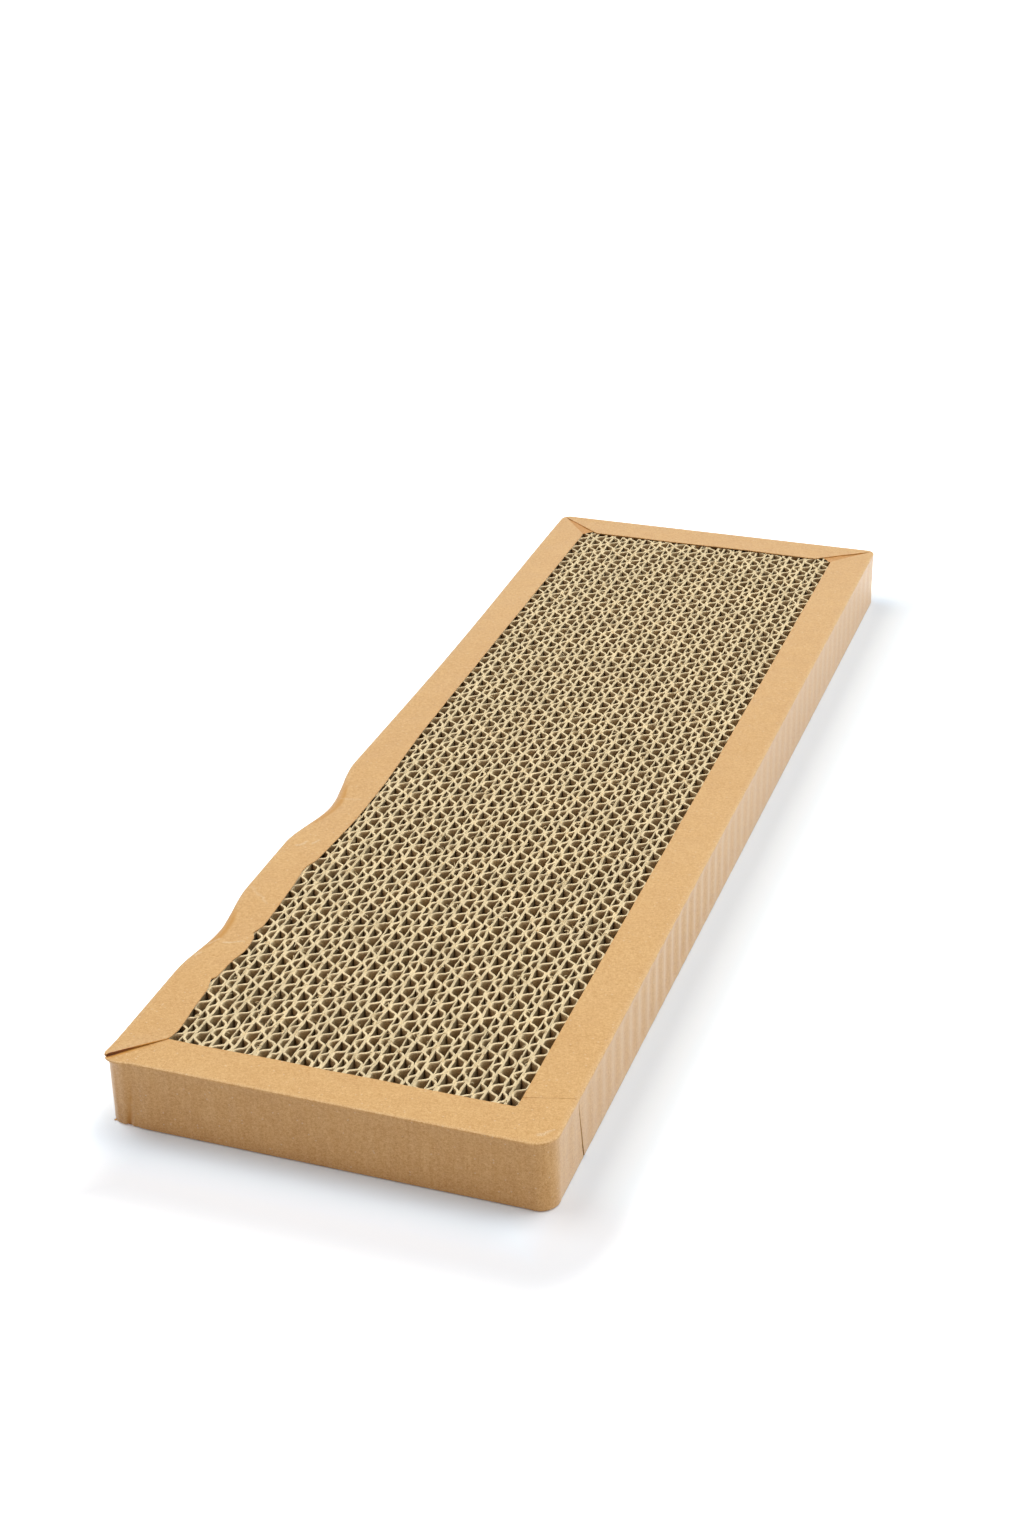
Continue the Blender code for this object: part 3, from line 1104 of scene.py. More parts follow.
@dataclass
class CutFibres:
    """Loose pale fibres that stand off the cut edges of the papers. A fibre's bend is given at length 1."""

    edges: Array
    material: Material
    count: int = 2600
    length: Plan = (0.7, 2.0)
    slenderness: float = 0.055
    sunk: float = 0.06
    bend: tuple[Colour, ...] = ((0.0, 0.0, 0.0), (0.3, 0.0, 0.45), (0.85, 0.2, 0.12))
    bend_pieces: int = 5
    sides: int = 3
    least_turn: Colour = (-0.7, -0.5, 0.0)
    most_turn: Colour = (0.7, 0.5, math.tau)
    seed: int = 11
    size_seed: int = 5

    def make(self) -> None:
        """Make the fibres and put them in the scene."""
        chance = np.random.default_rng(self.seed)
        picked = self.edges[chance.choice(len(self.edges), self.count, replace=False)]
        anchors = bpy.data.meshes.new("fibre_anchors")
        anchors.from_pydata(((picked - (0.0, 0.0, self.sunk)) * MM).tolist(), [], [])
        values = {
            "Shortest": self.length[0] * MM,
            "Longest": self.length[1] * MM,
            "Slenderness": self.slenderness,
            "Seed": self.seed,
            "Material": self.material,
        }
        mesh = self.build_tree().mesh("cut_edge_fibres", values, seed=anchors)
        place_piece("cut_edge_fibres", mesh, "fluting_medium")

    def build_tree(self) -> GeometryTree:
        """A bent fibre on every anchor, each turned and sized by chance.

        Returns:
            The tree. Its lengths are in metres.
        """
        sizes = dict.fromkeys(("Shortest", "Longest", "Slenderness"), "NodeSocketFloat")
        others = {"Seed": "NodeSocketInt", "Material": "NodeSocketMaterial"}
        tree = GeometryTree("cut_fibres", {"Geometry": "NodeSocketGeometry", **sizes, **others})
        s = tree.sheet
        sockets = {"Resolution": self.bend_pieces, **dict(zip(("Start", "Middle", "End"), self.bend))}
        bend = s.node("GeometryNodeCurveQuadraticBezier", sockets)
        sockets = {"Resolution": self.sides, "Radius": tree.value("Slenderness")}
        thin = s.node("GeometryNodeCurvePrimitiveCircle", sockets)
        sockets = {"Curve": bend, "Profile Curve": thin, "Fill Caps": True}
        tube = s.node("GeometryNodeCurveToMesh", sockets)
        seed = tree.value("Seed")
        sockets = {0: self.least_turn, 1: self.most_turn, "Seed": seed}
        turn = s.node("FunctionNodeRandomValue", sockets, {"data_type": "FLOAT_VECTOR"})
        sockets = {2: tree.value("Shortest"), 3: tree.value("Longest"), "Seed": seed + self.size_seed}
        size = s.node("FunctionNodeRandomValue", sockets, {"data_type": "FLOAT"}, 1)
        sockets = {"Points": tree.value("Geometry"), "Instance": tube, "Rotation": turn, "Scale": size}
        tree.finish(s.node("GeometryNodeInstanceOnPoints", sockets))
        return tree


def corner_cut(inward: float, radius: float) -> float:
    """How far a rounded corner cuts back the end of a line that lies a distance in from the side."""
    off = max(radius - inward, 0.0)
    return radius - math.sqrt(radius**2 - off**2)


def join_meshes(name: str, meshes: Sequence[Mesh]) -> Mesh:
    """Join meshes into one, with their materials and attributes.

    Args:
        name: The new mesh's name.
        meshes: The meshes, which are used up.

    Returns:
        The mesh.
    """
    objects = [in_scene(mesh.name, mesh) for mesh in meshes]
    chosen = {"active_object": objects[0], "selected_objects": objects, "selected_editable_objects": objects}
    if len(objects) > 1:
        with bpy.context.temp_override(**chosen):
            bpy.ops.object.join()
    joined = objects[0].data
    joined.name = name
    bpy.data.objects.remove(objects[0])
    for mesh in meshes[1:]:
        bpy.data.meshes.remove(mesh)
    return joined


class Side(Enum):
    """A side of the board: the axis that its flaps reach along, and the way in along it."""

    RIGHT = (0, -1.0)
    FRONT = (1, 1.0)
    LEFT = (0, 1.0)
    BACK = (1, -1.0)

    def __init__(self, axis: int, way: float) -> None:
        """Name the side's values."""
        self.axis = axis
        self.way = way

    def spot(self, along: float, inward: float) -> Plan:
        """The point that lies along the side and on the axis of its flaps."""
        return (inward, along) if self.axis == 0 else (along, inward)


class Corner(Enum):
    """A corner of the tape: its way from the middle across and along, its radius, and its round's start."""

    FRONT_RIGHT = (1, -1, 6.5, 0.0)
    FRONT_LEFT = (-1, -1, 3.0, -QUARTER)
    BACK_LEFT = (-1, 1, 3.5, math.pi)
    BACK_RIGHT = (1, 1, 3.0, QUARTER)

    def __init__(self, across: int, along: int, radius: float, start_angle: float) -> None:
        """Name the corner's values."""
        self.across, self.along = across, along
        self.radius, self.start_angle = radius, start_angle


Flaps = dict[Side, float]


@dataclass
class Column:
    """One line across the tape, from its edge under the board, round the wall, to its edge on top."""

    side: Side
    foot: Plan
    head: Plan
    inward: Plan
    fold: float
    top_end: Plan
    under_end: Plan
    parts_after: bool = False


def shares(count: int) -> Array:
    """Even shares from 0 to 1."""
    return np.arange(count + 1) / count


def line_points(start: Sequence[float], end: Sequence[float], at: Array) -> Array:
    """The points of a straight line at shares of its length."""
    return np.outer(1 - at, start) + np.outer(at, end)


def place_tape(
    name: str, sheet: Mesh, thickness: float, material: Material, nodes: Sequence[str] = ()
) -> None:
    """Give a sheet of tape its thickness and put it in the scene.

    Args:
        name: The piece's name.
        sheet: The sheet, which is used up.
        thickness: Its thickness, in millimetres.
        material: Its material.
        nodes: The solids that it stands for.
    """
    mesh = flatten(in_scene(sheet.name, sheet), name, thickness, -1.0)
    mesh.materials.clear()
    mesh.materials.append(material)
    place_piece(name, mesh, "kraft_tape", nodes)


@dataclass
class EdgeTape:
    """The kraft tape round the board, folded over both faces, mitred at three corners.

    The seam's places are counted from the front, and its low end gapes behind. The left flap's inner edge on
    top is torn, so it has knots: places from the front, and the flap's width there.
    """

    half_width: float
    half_length: float
    height: float
    edge: CrushedEdge
    top: Flaps
    under: Flaps
    material: Material
    paper: float = 0.28
    fold: float = 0.42
    dent_fold: float = 0.5
    step: float = 1.25
    fine_step: float = 0.4
    fine_reach: float = 11.0
    seam_inner: float = 17.5
    seam_outer: float = 21.3
    seam_low: float = 24.25
    seam_gap: float = 0.12
    seam_gape: float = 0.75
    seam_reach: float = 34.0
    round_columns: int = 8
    under_rows: int = 8
    fold_rows: int = 4
    wall_rows: int = 10
    wall_crowding: float = 1.6
    top_rows: int = 12
    shortest_flap: float = 0.12
    gather_radius: float = 0.9
    weld: float = 0.02
    left_edge: tuple[Plan, ...] = (
        (0.0, 13.5), (13.5, 13.5), (18.0, 14.0), (24.0, 13.6), (28.5, 13.1), (38.0, 12.7), (43.0, 11.4),
        (44.4, 12.4), (53.0, 13.0), (58.0, 14.2), (62.0, 14.3), (66.5, 13.7), (67.6, 12.3), (72.0, 13.7),
        (80.0, 13.5), (95.0, 12.9), (104.5, 11.9), (106.5, 12.1), (110.5, 13.5), (117.0, 14.0), (128.0, 14.8),
        (138.0, 15.3), (160.0, 15.2), (177.0, 14.4), (195.0, 13.7), (230.0, 13.4), (300.0, 13.2),
        (390.0, 13.0),
    )  # fmt: skip

    MITRE_SHIFTS = {
        (Corner.FRONT_LEFT, Side.LEFT): (0.6, 0.1),
        (Corner.FRONT_LEFT, Side.FRONT): (-1.2, 2.0),
        (Corner.BACK_LEFT, Side.LEFT): (-0.8, -1.2),
        (Corner.BACK_LEFT, Side.BACK): (2.0, 2.2),
        (Corner.BACK_RIGHT, Side.RIGHT): (0.5, -0.6),
        (Corner.BACK_RIGHT, Side.BACK): (-1.5, 3.2),
    }
    TIP_SHIFTS = {(Corner.FRONT_LEFT, Side.FRONT): (-0.2, 0.5)}
    UNDER_SHIFTS = {Side.LEFT: (0.1, 0.1), Side.RIGHT: (0.1, 0.1)}
    NO_SHIFT = (0.0, 0.0)

    def make(self) -> None:
        """Make the tape and put it in the scene."""
        columns = self.columns()
        relief = TapeRelief(self, columns)
        relief.shape_walls()
        relief.shape_corners()
        relief.add_waves()
        sheet = self.skin(columns, relief.made, relief.wear_and_painted_light())
        place_tape("edge_tape_paper", sheet, self.paper, self.material, ("edge_tape",))

    @property
    def top_row(self) -> int:
        """The first row of the top flap."""
        return self.under_rows + self.fold_rows * 2 + self.wall_rows

    def round_at(self, corner: Corner, share: float, inset: float = 0.0) -> tuple[Plan, Plan]:
        """A point of a corner's round, which the columns go along clockwise from above.

        Args:
            corner: The corner.
            share: How far round, from 0 to 1.
            inset: How far in from the outer face.

        Returns:
            The point, and the unit vector inwards.
        """
        angle = corner.start_angle - share * QUARTER
        way = (math.cos(angle), math.sin(angle))
        reach = corner.radius - inset
        x = corner.across * (self.half_width - corner.radius) + way[0] * reach
        y = corner.along * (self.half_length - corner.radius) + way[1] * reach
        return (x, y), (-way[0], -way[1])

    def opening(self, corner: Corner, flaps: Flaps) -> Plan:
        """The corner of the opening between the flaps of a face.

        Args:
            corner: The tape's corner beside it.
            flaps: The flaps of the face.

        Returns:
            The point.
        """
        wide = flaps[Side.LEFT if corner.across < 0 else Side.RIGHT]
        deep = flaps[Side.FRONT if corner.along < 0 else Side.BACK]
        return corner.across * (self.half_width - wide), corner.along * (self.half_length - deep)

    def columns(self) -> list[Column]:
        """The tape's columns in order, clockwise from above, from the seam round to the seam.

        Returns:
            The columns.
        """
        long, wide = self.half_length, self.half_width
        front_right, front_left, back_left, back_right = (corner.radius for corner in Corner)
        fine = self.fine_reach - wide
        gathered = [self.round_at(Corner.FRONT_RIGHT, share) for share in shares(self.round_columns)]
        return [
            *self.seam_columns(front_right, -1),
            *(self.column(Side.FRONT, *place) for place in gathered),
            *self.straight(Side.FRONT, wide - front_right, fine),
            *self.straight(Side.FRONT, fine + self.fine_step, front_left - wide, self.fine_step),
            *self.mitre_arc(Corner.FRONT_LEFT, Side.FRONT, Side.LEFT),
            *self.straight(Side.LEFT, front_left - long, long - back_left),
            *self.mitre_arc(Corner.BACK_LEFT, Side.LEFT, Side.BACK),
            *self.straight(Side.BACK, back_left - wide, wide - back_right),
            *self.mitre_arc(Corner.BACK_RIGHT, Side.BACK, Side.RIGHT),
            *self.straight(Side.RIGHT, long - back_right, self.seam_reach - long),
            *reversed(self.seam_columns(self.seam_reach, 1)),
        ]

    def pieces(self, length: float, step: float = 0.0) -> int:
        """How many columns a length gets, at a step of its own or at the usual one."""
        return max(2, round(abs(length) / (step or self.step)))

    def seam_columns(self, reach: float, way: int) -> list[Column]:
        """The columns on one side of the seam, which slant with it, from it to where the tape is plain.

        Args:
            reach: Where the tape is plain, from the front.
            way: 1 behind the seam and -1 before it.

        Returns:
            The columns.
        """
        front, x = -self.half_length, self.half_width
        gape = self.seam_gape if way > 0 else 0.0
        starts = np.array((self.seam_inner, self.seam_outer, self.seam_low + gape)) + self.seam_gap / 2 * way
        made = []
        for share in shares(self.pieces(reach - self.seam_outer))[:-1]:
            inner, outer, low = front + starts + (reach - starts) * share
            ends = []
            for flaps, spot, fold_spot in ((self.top, inner, outer), (self.under, low, low)):
                gathered = way < 0 and spot < front + flaps[Side.FRONT]
                plain = (x - flaps[Side.RIGHT], spot)
                ends.append(self.gather_end((x - self.fold, fold_spot), flaps) if gathered else plain)
            made.append(Column(Side.RIGHT, (x, low), (x, outer), (-1.0, 0.0), self.fold, *ends))
        return made

    def gather_end(self, fold_point: Plan, flaps: Flaps) -> Plan:
        """Where a column of the gathered front right corner ends: on a small round at the opening's corner.

        Args:
            fold_point: The column's point on the fold.
            flaps: The flaps of the face.

        Returns:
            The end.
        """
        corner, radius = self.opening(Corner.FRONT_RIGHT, flaps), self.gather_radius
        middle = (corner[0] - radius, corner[1] + radius)
        way = (fold_point[0] - middle[0], fold_point[1] - middle[1])
        length = math.hypot(*way)
        return middle[0] + way[0] / length * radius, middle[1] + way[1] / length * radius

    def straight(self, side: Side, start: float, end: float, step: float = 0.0) -> list[Column]:
        """The columns of a straight side, without its two ends.

        Args:
            side: The side.
            start: Where it starts.
            end: Where it ends.
            step: The columns' step, or 0 for the usual one.

        Returns:
            The columns.
        """
        stations = start + (end - start) * shares(self.pieces(end - start, step))[1:-1]
        outer = -side.way * (self.half_width, self.half_length)[side.axis]
        inward = side.spot(0.0, side.way)
        return [self.column(side, side.spot(station, outer), inward) for station in stations]

    def mitre_arc(self, corner: Corner, before: Side, after: Side) -> list[Column]:
        """The columns of a mitred corner, where the flaps part in the middle.

        Args:
            corner: The corner.
            before: The side before it.
            after: The side after it.

        Returns:
            The columns.
        """
        places = [self.round_at(corner, share) for share in shares(self.round_columns)]
        middle = self.round_columns // 2
        made = [self.column(before, *place) for place in places[: middle + 1]]
        made[-1].parts_after = True
        return made + [self.column(after, *place) for place in places[middle:]]

    def column(self, side: Side, point: Plan, inward: Plan) -> Column:
        """A column that ends at the flap's edge, at a mitre or in the gathered corner.

        Args:
            side: The side.
            point: The point of the outer face.
            inward: The way in from it.

        Returns:
            The column.
        """
        fold = self.fold
        if side is Side.LEFT:
            fold += self.dent_fold * float(self.edge.depth(np.array(point[1])))
        start = (point[0] + inward[0] * fold, point[1] + inward[1] * fold)
        ends = [self.flap_end(side, start, top) for top in (True, False)]
        return Column(side, point, point, inward, fold, *ends)

    def mitre(self, corner: Corner, side: Side, top: bool) -> tuple[Plan, Plan]:
        """The line that a flap is cut along at a corner.

        Args:
            corner: The corner.
            side: The flap's side.
            top: Whether it is the flap on top.

        Returns:
            Two points of the line.
        """
        outer = self.round_at(corner, 0.5, self.fold)[0]
        inner = self.opening(corner, self.top if top else self.under)
        tip, move = self.NO_SHIFT, self.UNDER_SHIFTS.get(side, self.NO_SHIFT)
        if top:
            tip = self.TIP_SHIFTS.get((corner, side), self.NO_SHIFT)
            move = self.MITRE_SHIFTS[corner, side]
        return (outer[0] + tip[0], outer[1] + tip[1]), (inner[0] + move[0], inner[1] + move[1])

    def flap_end(self, side: Side, start: Plan, top: bool) -> Plan:
        """Where a flap ends, going straight in from its fold.

        Args:
            side: The flap's side.
            start: The point on the fold.
            top: Whether it is the flap on top.

        Returns:
            The end.
        """
        flaps = self.top if top else self.under
        gathered_from = self.opening(Corner.FRONT_RIGHT, flaps)[0] - self.gather_radius
        if side is Side.FRONT and start[0] > gathered_from:
            return self.gather_end(start, flaps)
        axis, other = side.axis, 1 - side.axis
        width = flaps[side]
        if side is Side.LEFT and top:
            width = np.interp(start[other] + self.half_length, *np.transpose(self.left_edge))
        limits = [width - (self.half_width, self.half_length)[axis]]
        for corner, mitred in self.MITRE_SHIFTS:
            if mitred is side:
                outer, inner = self.mitre(corner, side, top)
                share = (start[other] - outer[other]) / (inner[other] - outer[other])
                limits.append(side.way * (outer[axis] + share * (inner[axis] - outer[axis])))
        reach = max(min(limits), side.way * start[axis] + self.shortest_flap)
        return side.spot(start[other], side.way * reach)

    def profile(self, column: Column) -> Array:
        """The points of a column, from its edge under the board to its edge on top.

        Args:
            column: The column.

        Returns:
            The points.
        """
        inward = np.array(column.inward)
        low, high = column.foot + inward * self.fold, column.head + inward * column.fold
        bottom, top = self.fold, self.height - column.fold
        turns = shares(self.fold_rows)[:-1] * QUARTER
        wall = 1.0 - (1.0 - shares(self.wall_rows)[:-1]) ** self.wall_crowding

        def round_fold(middle: Array, height: float, radius: float, angles: Array) -> Array:
            """The points of a fold about its middle, at angles above the level."""
            out = np.outer(np.cos(angles), inward) * radius
            return np.column_stack((middle - out, height + np.sin(angles) * radius))

        return np.concatenate(
            (
                line_points((*column.under_end, 0.0), (*low, 0.0), shares(self.under_rows)[:-1]),
                round_fold(low, bottom, self.fold, turns - QUARTER),
                line_points((*column.foot, bottom), (*column.head, top), wall),
                round_fold(high, top, column.fold, turns),
                line_points((*high, self.height), (*column.top_end, self.height), shares(self.top_rows)),
            )
        )

    def skin(self, columns: Sequence[Column], points: Array, wear_and_painted_light: dict[str, Array]) -> Mesh:
        """Join the columns into one sheet.

        Args:
            columns: The columns.
            points: Their points.
            wear_and_painted_light: Values that each point carries, by name.

        Returns:
            The sheet, with its faces outwards.
        """
        rows = points.shape[1]
        faces, parted = [], []
        for c, column in enumerate(columns[:-1]):
            if column.parts_after:
                parted += [c, c + 1]
            else:
                faces += [(a, a + 1, a + rows + 1, a + rows) for a in range(c * rows, (c + 1) * rows - 1)]
        mesh = bpy.data.meshes.new("edge_tape_skin")
        mesh.from_pydata((points.reshape(-1, 3) * MM).tolist(), [], faces)
        for name, values in wear_and_painted_light.items():
            attribute = mesh.attributes.new(name, "FLOAT", "POINT")
            attribute.data.foreach_set("value", values.astype(np.float32).ravel())
        grid = bmesh.new()
        grid.from_mesh(mesh)
        grid.verts.ensure_lookup_table()
        shared = [grid.verts[c * rows + r] for c in parted for r in range(self.under_rows, self.top_row + 1)]
        bmesh.ops.remove_doubles(grid, verts=shared, dist=self.weld * MM)
        grid.to_mesh(mesh)
        grid.free()
        return mesh


@dataclass
class TapeRelief:
    """The damage and the slight waves of the tape, which move its points, by column and row.

    A crease in the front wall has its place from the left side, its width and its strength.
    """

    tape: EdgeTape
    columns: Sequence[Column]
    # Paler along the top and bottom folds: wear, and a painted highlight.
    top_fold_wear_and_highlight: tuple[float, ...] = (0.6, 1.0, 0.7)
    under_fold_wear_and_highlight: tuple[float, ...] = (0.3, 0.6, 0.4)
    # Crushed paper at the left edge's dents, with painted shade on the dented fold.
    crush_and_shade_from: tuple[float, ...] = (0.2, 0.2, 0.2, 0.2, 0.2, 0.35, 0.7)
    crush_and_shade_soft: float = 0.5
    crush_and_shade_mark: float = 0.7
    # Painted shade: at the top flaps' inner edges, and in the front wall's creases.
    edge_shade: float = 0.25
    crease_shade: float = 0.85
    flat_within: float = 0.01
    mitre_start: float = -0.1
    # The painted shadow in the slit at the front left mitre: on the front flap beside the mitre, and on the
    # left flap's edge.
    slit_width: float = 0.8
    slit_end: float = 1.15
    lip_width: float = 0.05
    lip_end: float = 1.3
    creases: tuple[tuple[float, float, float], ...] = ((6.2, 0.9, 1.0), (8.5, 1.0, 0.3))
    crease_lean: float = 3.0
    crease_top: float = 0.85
    crease_fade: float = 0.4
    crease_foot: float = 6.0
    crease_shares: Plan = (0.55, 0.45)
    crease_depth: float = 0.9
    wall_soft: float = 2.5
    rib_pitch: float = 8.0
    rib_drift: Plan = (0.6, 23.0)
    rib_depths: Plan = (0.07, 0.17)
    rib_middle: Plan = (112.0, 62.0)
    left_rib_depth: float = 0.1
    strip_depth: float = 0.07
    strip_start: float = 0.5
    strip_pitch: float = 6.35
    bulge_depth: float = 0.5
    bulge_place: float = 4.5
    square_foot: float = 1.4
    lift: Plan = (0.34, 0.55)
    lift_width: float = 9.0
    lift_fade: float = 2.2
    lift_height: float = 3.0
    inset: float = 0.81
    inset_reach: float = 7.0
    inset_top: Plan = (1.5, 1.1)
    flap_waves: tuple[Ripple, ...] = (Ripple(17.0, 3.3, 0.16), Ripple(6.0, 9.1, 0.05))
    flap_wave_rise: float = 3.0
    under_wave: Ripple = Ripple(19.0, 5.7, 0.05)
    wall_wave: Ripple = Ripple(24.0, 13.7, 0.12)

    def __post_init__(self) -> None:
        """Find the tape's points, and where on the tape each is."""
        tape = self.tape
        self.places = np.array([tape.profile(column) for column in self.columns])
        self.made = self.places.copy()
        self.x, self.y, self.z = np.moveaxis(self.places, -1, 0)
        self.across, self.along = self.x + tape.half_width, self.y + tape.half_length
        self.right, self.front, self.left, self.back = (
            np.array([[float(column.side is side)] for column in self.columns]) for side in Side
        )
        self.inward = np.array([[column.inward] for column in self.columns])
        rows = np.arange(self.places.shape[1])
        self.flap = np.clip((rows - tape.top_row) / tape.top_rows, 0.0, 1.0)
        self.under = np.clip(1.0 - rows / tape.under_rows, 0.0, 1.0)
        self.upright = (self.flap == 0) & (self.under == 0)
        from_fold = np.minimum(self.z, tape.height - self.z)
        self.wall = np.clip(from_fold / self.wall_soft, 0.0, 1.0) * self.upright

    def beside_mitre(self) -> tuple[Array, Array]:
        """Where the points are beside the front left mitre.

        Returns:
            How far along the mitre each is, from 0 at the tip to 1 at its inner end, and how far off it is.
        """
        tip, inner = np.array(self.tape.mitre(Corner.FRONT_LEFT, Side.LEFT, True))
        length = np.linalg.norm(inner - tip)
        run = (inner - tip) / length
        offset = self.places[..., :2] - tip
        return offset @ run / length, np.abs(offset[..., 0] * run[1] - offset[..., 1] * run[0])

    def front_creases(self) -> Array:
        """The creases that run up the front wall from its foot, beside the front left corner.

        Returns:
            How creased each point is, from 0 to about 1.
        """
        up = self.z / self.tape.height
        low = np.clip((self.crease_top - up) / self.crease_fade, 0.0, 1.0)
        low = low * (self.crease_shares[0] + self.crease_shares[1] * bump(self.z / self.crease_foot))
        upright = self.across - self.crease_lean * up
        return low * sum(deep * np.exp(-(((upright - at) / wide) ** 2)) for at, wide, deep in self.creases)

    def wear_and_painted_light(self) -> dict[str, Array]:
        """How worn and crushed the tape is, and where shade and a highlight are painted on it.

        Returns:
            The two shares of each point, by name.
        """
        tape = self.tape
        wear_and_highlight, crush_and_shade = np.zeros_like(self.z), np.zeros_like(self.z)
        # Wear and a painted highlight along the top and bottom folds.
        wear_and_highlight[:, tape.top_row - 2 : tape.top_row + 1] = self.top_fold_wear_and_highlight
        wear_and_highlight[:, tape.under_rows : tape.under_rows + 3] = self.under_fold_wear_and_highlight
        # Crushed paper at the left edge's dents, made darker as painted shade on the dented fold.
        dented = tape.edge.crease(self.y[:, 0]) * self.left[:, 0]
        for row, least in enumerate(self.crush_and_shade_from, tape.top_row - tape.fold_rows):
            crush_and_shade[:, row] = self.crush_and_shade_mark * np.clip((dented - least) / self.crush_and_shade_soft, 0.0, 1.0)
        # Painted shade along the top flaps' inner edges.
        crush_and_shade[:, -1] = self.edge_shade
        # Painted shadow in the slit under the lifted left flap at the front left mitre, on both flaps.
        along, away = self.beside_mitre()
        on_mitre = (self.z >= tape.height - self.flat_within) * (along > self.mitre_start)
        slit_shadow = np.exp(-((away / self.slit_width) ** 2)) * np.clip(self.slit_end - along, 0.0, 1.0) * on_mitre
        lip_shadow = self.left * (away < self.lip_width) * np.clip(self.lip_end - along, 0.0, 1.0) * on_mitre
        # Painted shade in the creases at the front wall's foot, beside the front left corner.
        creases = np.minimum(self.front_creases(), 1.0) * self.crease_shade
        front = self.front * np.maximum(creases, slit_shadow)
        return {"wear_and_highlight": wear_and_highlight, "crush_and_shade": np.maximum(np.maximum(crush_and_shade, lip_shadow), front)}

    def shape_walls(self) -> None:
        """Give the walls their dents, the ribs of the flutes, the strips' ends and the front's creases."""
        edge, hold = self.tape.edge, 1.0 - self.flap
        depth = self.left * edge.depth(self.y)
        self.made[..., 0] += depth * edge.rise_share(self.z) * hold**edge.fade * (1.0 - self.under)
        self.made[..., 2] -= depth * edge.sink * hold * edge.sink_share(self.z)
        drift, drift_length = self.rib_drift
        ribs = 1.0 - np.cos(math.tau * self.y / self.rib_pitch + drift * np.sin(self.along / drift_length))
        middle, spread = self.rib_middle
        right = self.rib_depths[0] + self.rib_depths[1] * np.exp(-(((self.along - middle) / spread) ** 2))
        self.made[..., 0] += self.wall * ribs * (self.left * self.left_rib_depth - self.right * right)
        ends = 1.0 - np.cos(math.tau * (self.across - self.strip_start) / self.strip_pitch)
        self.made[..., 1] += self.wall * self.strip_depth * ends * (self.front - self.back)
        pinch = self.crease_depth * self.front_creases() * self.upright
        bulge = self.bulge_depth * bump(self.across / self.bulge_place - 1.0) * hold**2
        self.made[..., 1] += self.front * (pinch - bulge * (self.z / self.tape.height) ** 3)

    def shape_corners(self) -> None:
        """Square the front right corner's foot, and lift the front left mitre and set back its wall."""
        height = self.tape.height
        rounded = np.maximum(-self.inward[..., 0], 0.0) * np.maximum(self.inward[..., 1], 0.0)
        square = self.square_foot * rounded * np.clip(1.0 - self.z / height, 0.0, 1.0) * (self.under == 0)
        self.made[..., :2] -= self.inward * square[..., None]
        along, away = self.beside_mitre()
        lift = self.lift[0] + self.lift[1] * np.clip(1.0 - along, 0.0, 1.0)
        lift = lift * np.clip(1.0 - away / self.lift_width, 0.0, 1.0) ** 2
        lift = lift * np.clip(1.0 - (along - 1.0) * self.lift_fade, 0.0, 1.0)
        reach = np.clip(1.0 - (height - self.z) / self.lift_height, 0.0, 1.0)
        self.made[..., 2] += self.left * lift * reach
        inset = self.inset * bump(np.maximum(self.across, self.along) / self.inset_reach)
        clear, fade = self.inset_top
        inset = inset * bump(np.clip((self.z - height + clear) / fade, 0.0, 1.0))
        inset = inset * (1.0 - self.flap) * (1.0 - self.under)
        self.made[..., :2] += inset[..., None]

    def add_waves(self) -> None:
        """Give the flaps and the walls the slight waves of paper."""
        waves = sum(wave.at(self.places) for wave in self.flap_waves)
        self.made[..., 2] += waves * np.clip(self.flap * self.flap_wave_rise, 0.0, 1.0)
        self.made[..., 2] += (self.under_wave.size + self.under_wave.at(self.places)) * self.under
        drift = (self.wall_wave.size + self.wall_wave.at(self.places)) * self.wall
        self.made[..., :2] += self.inward * drift[..., None]


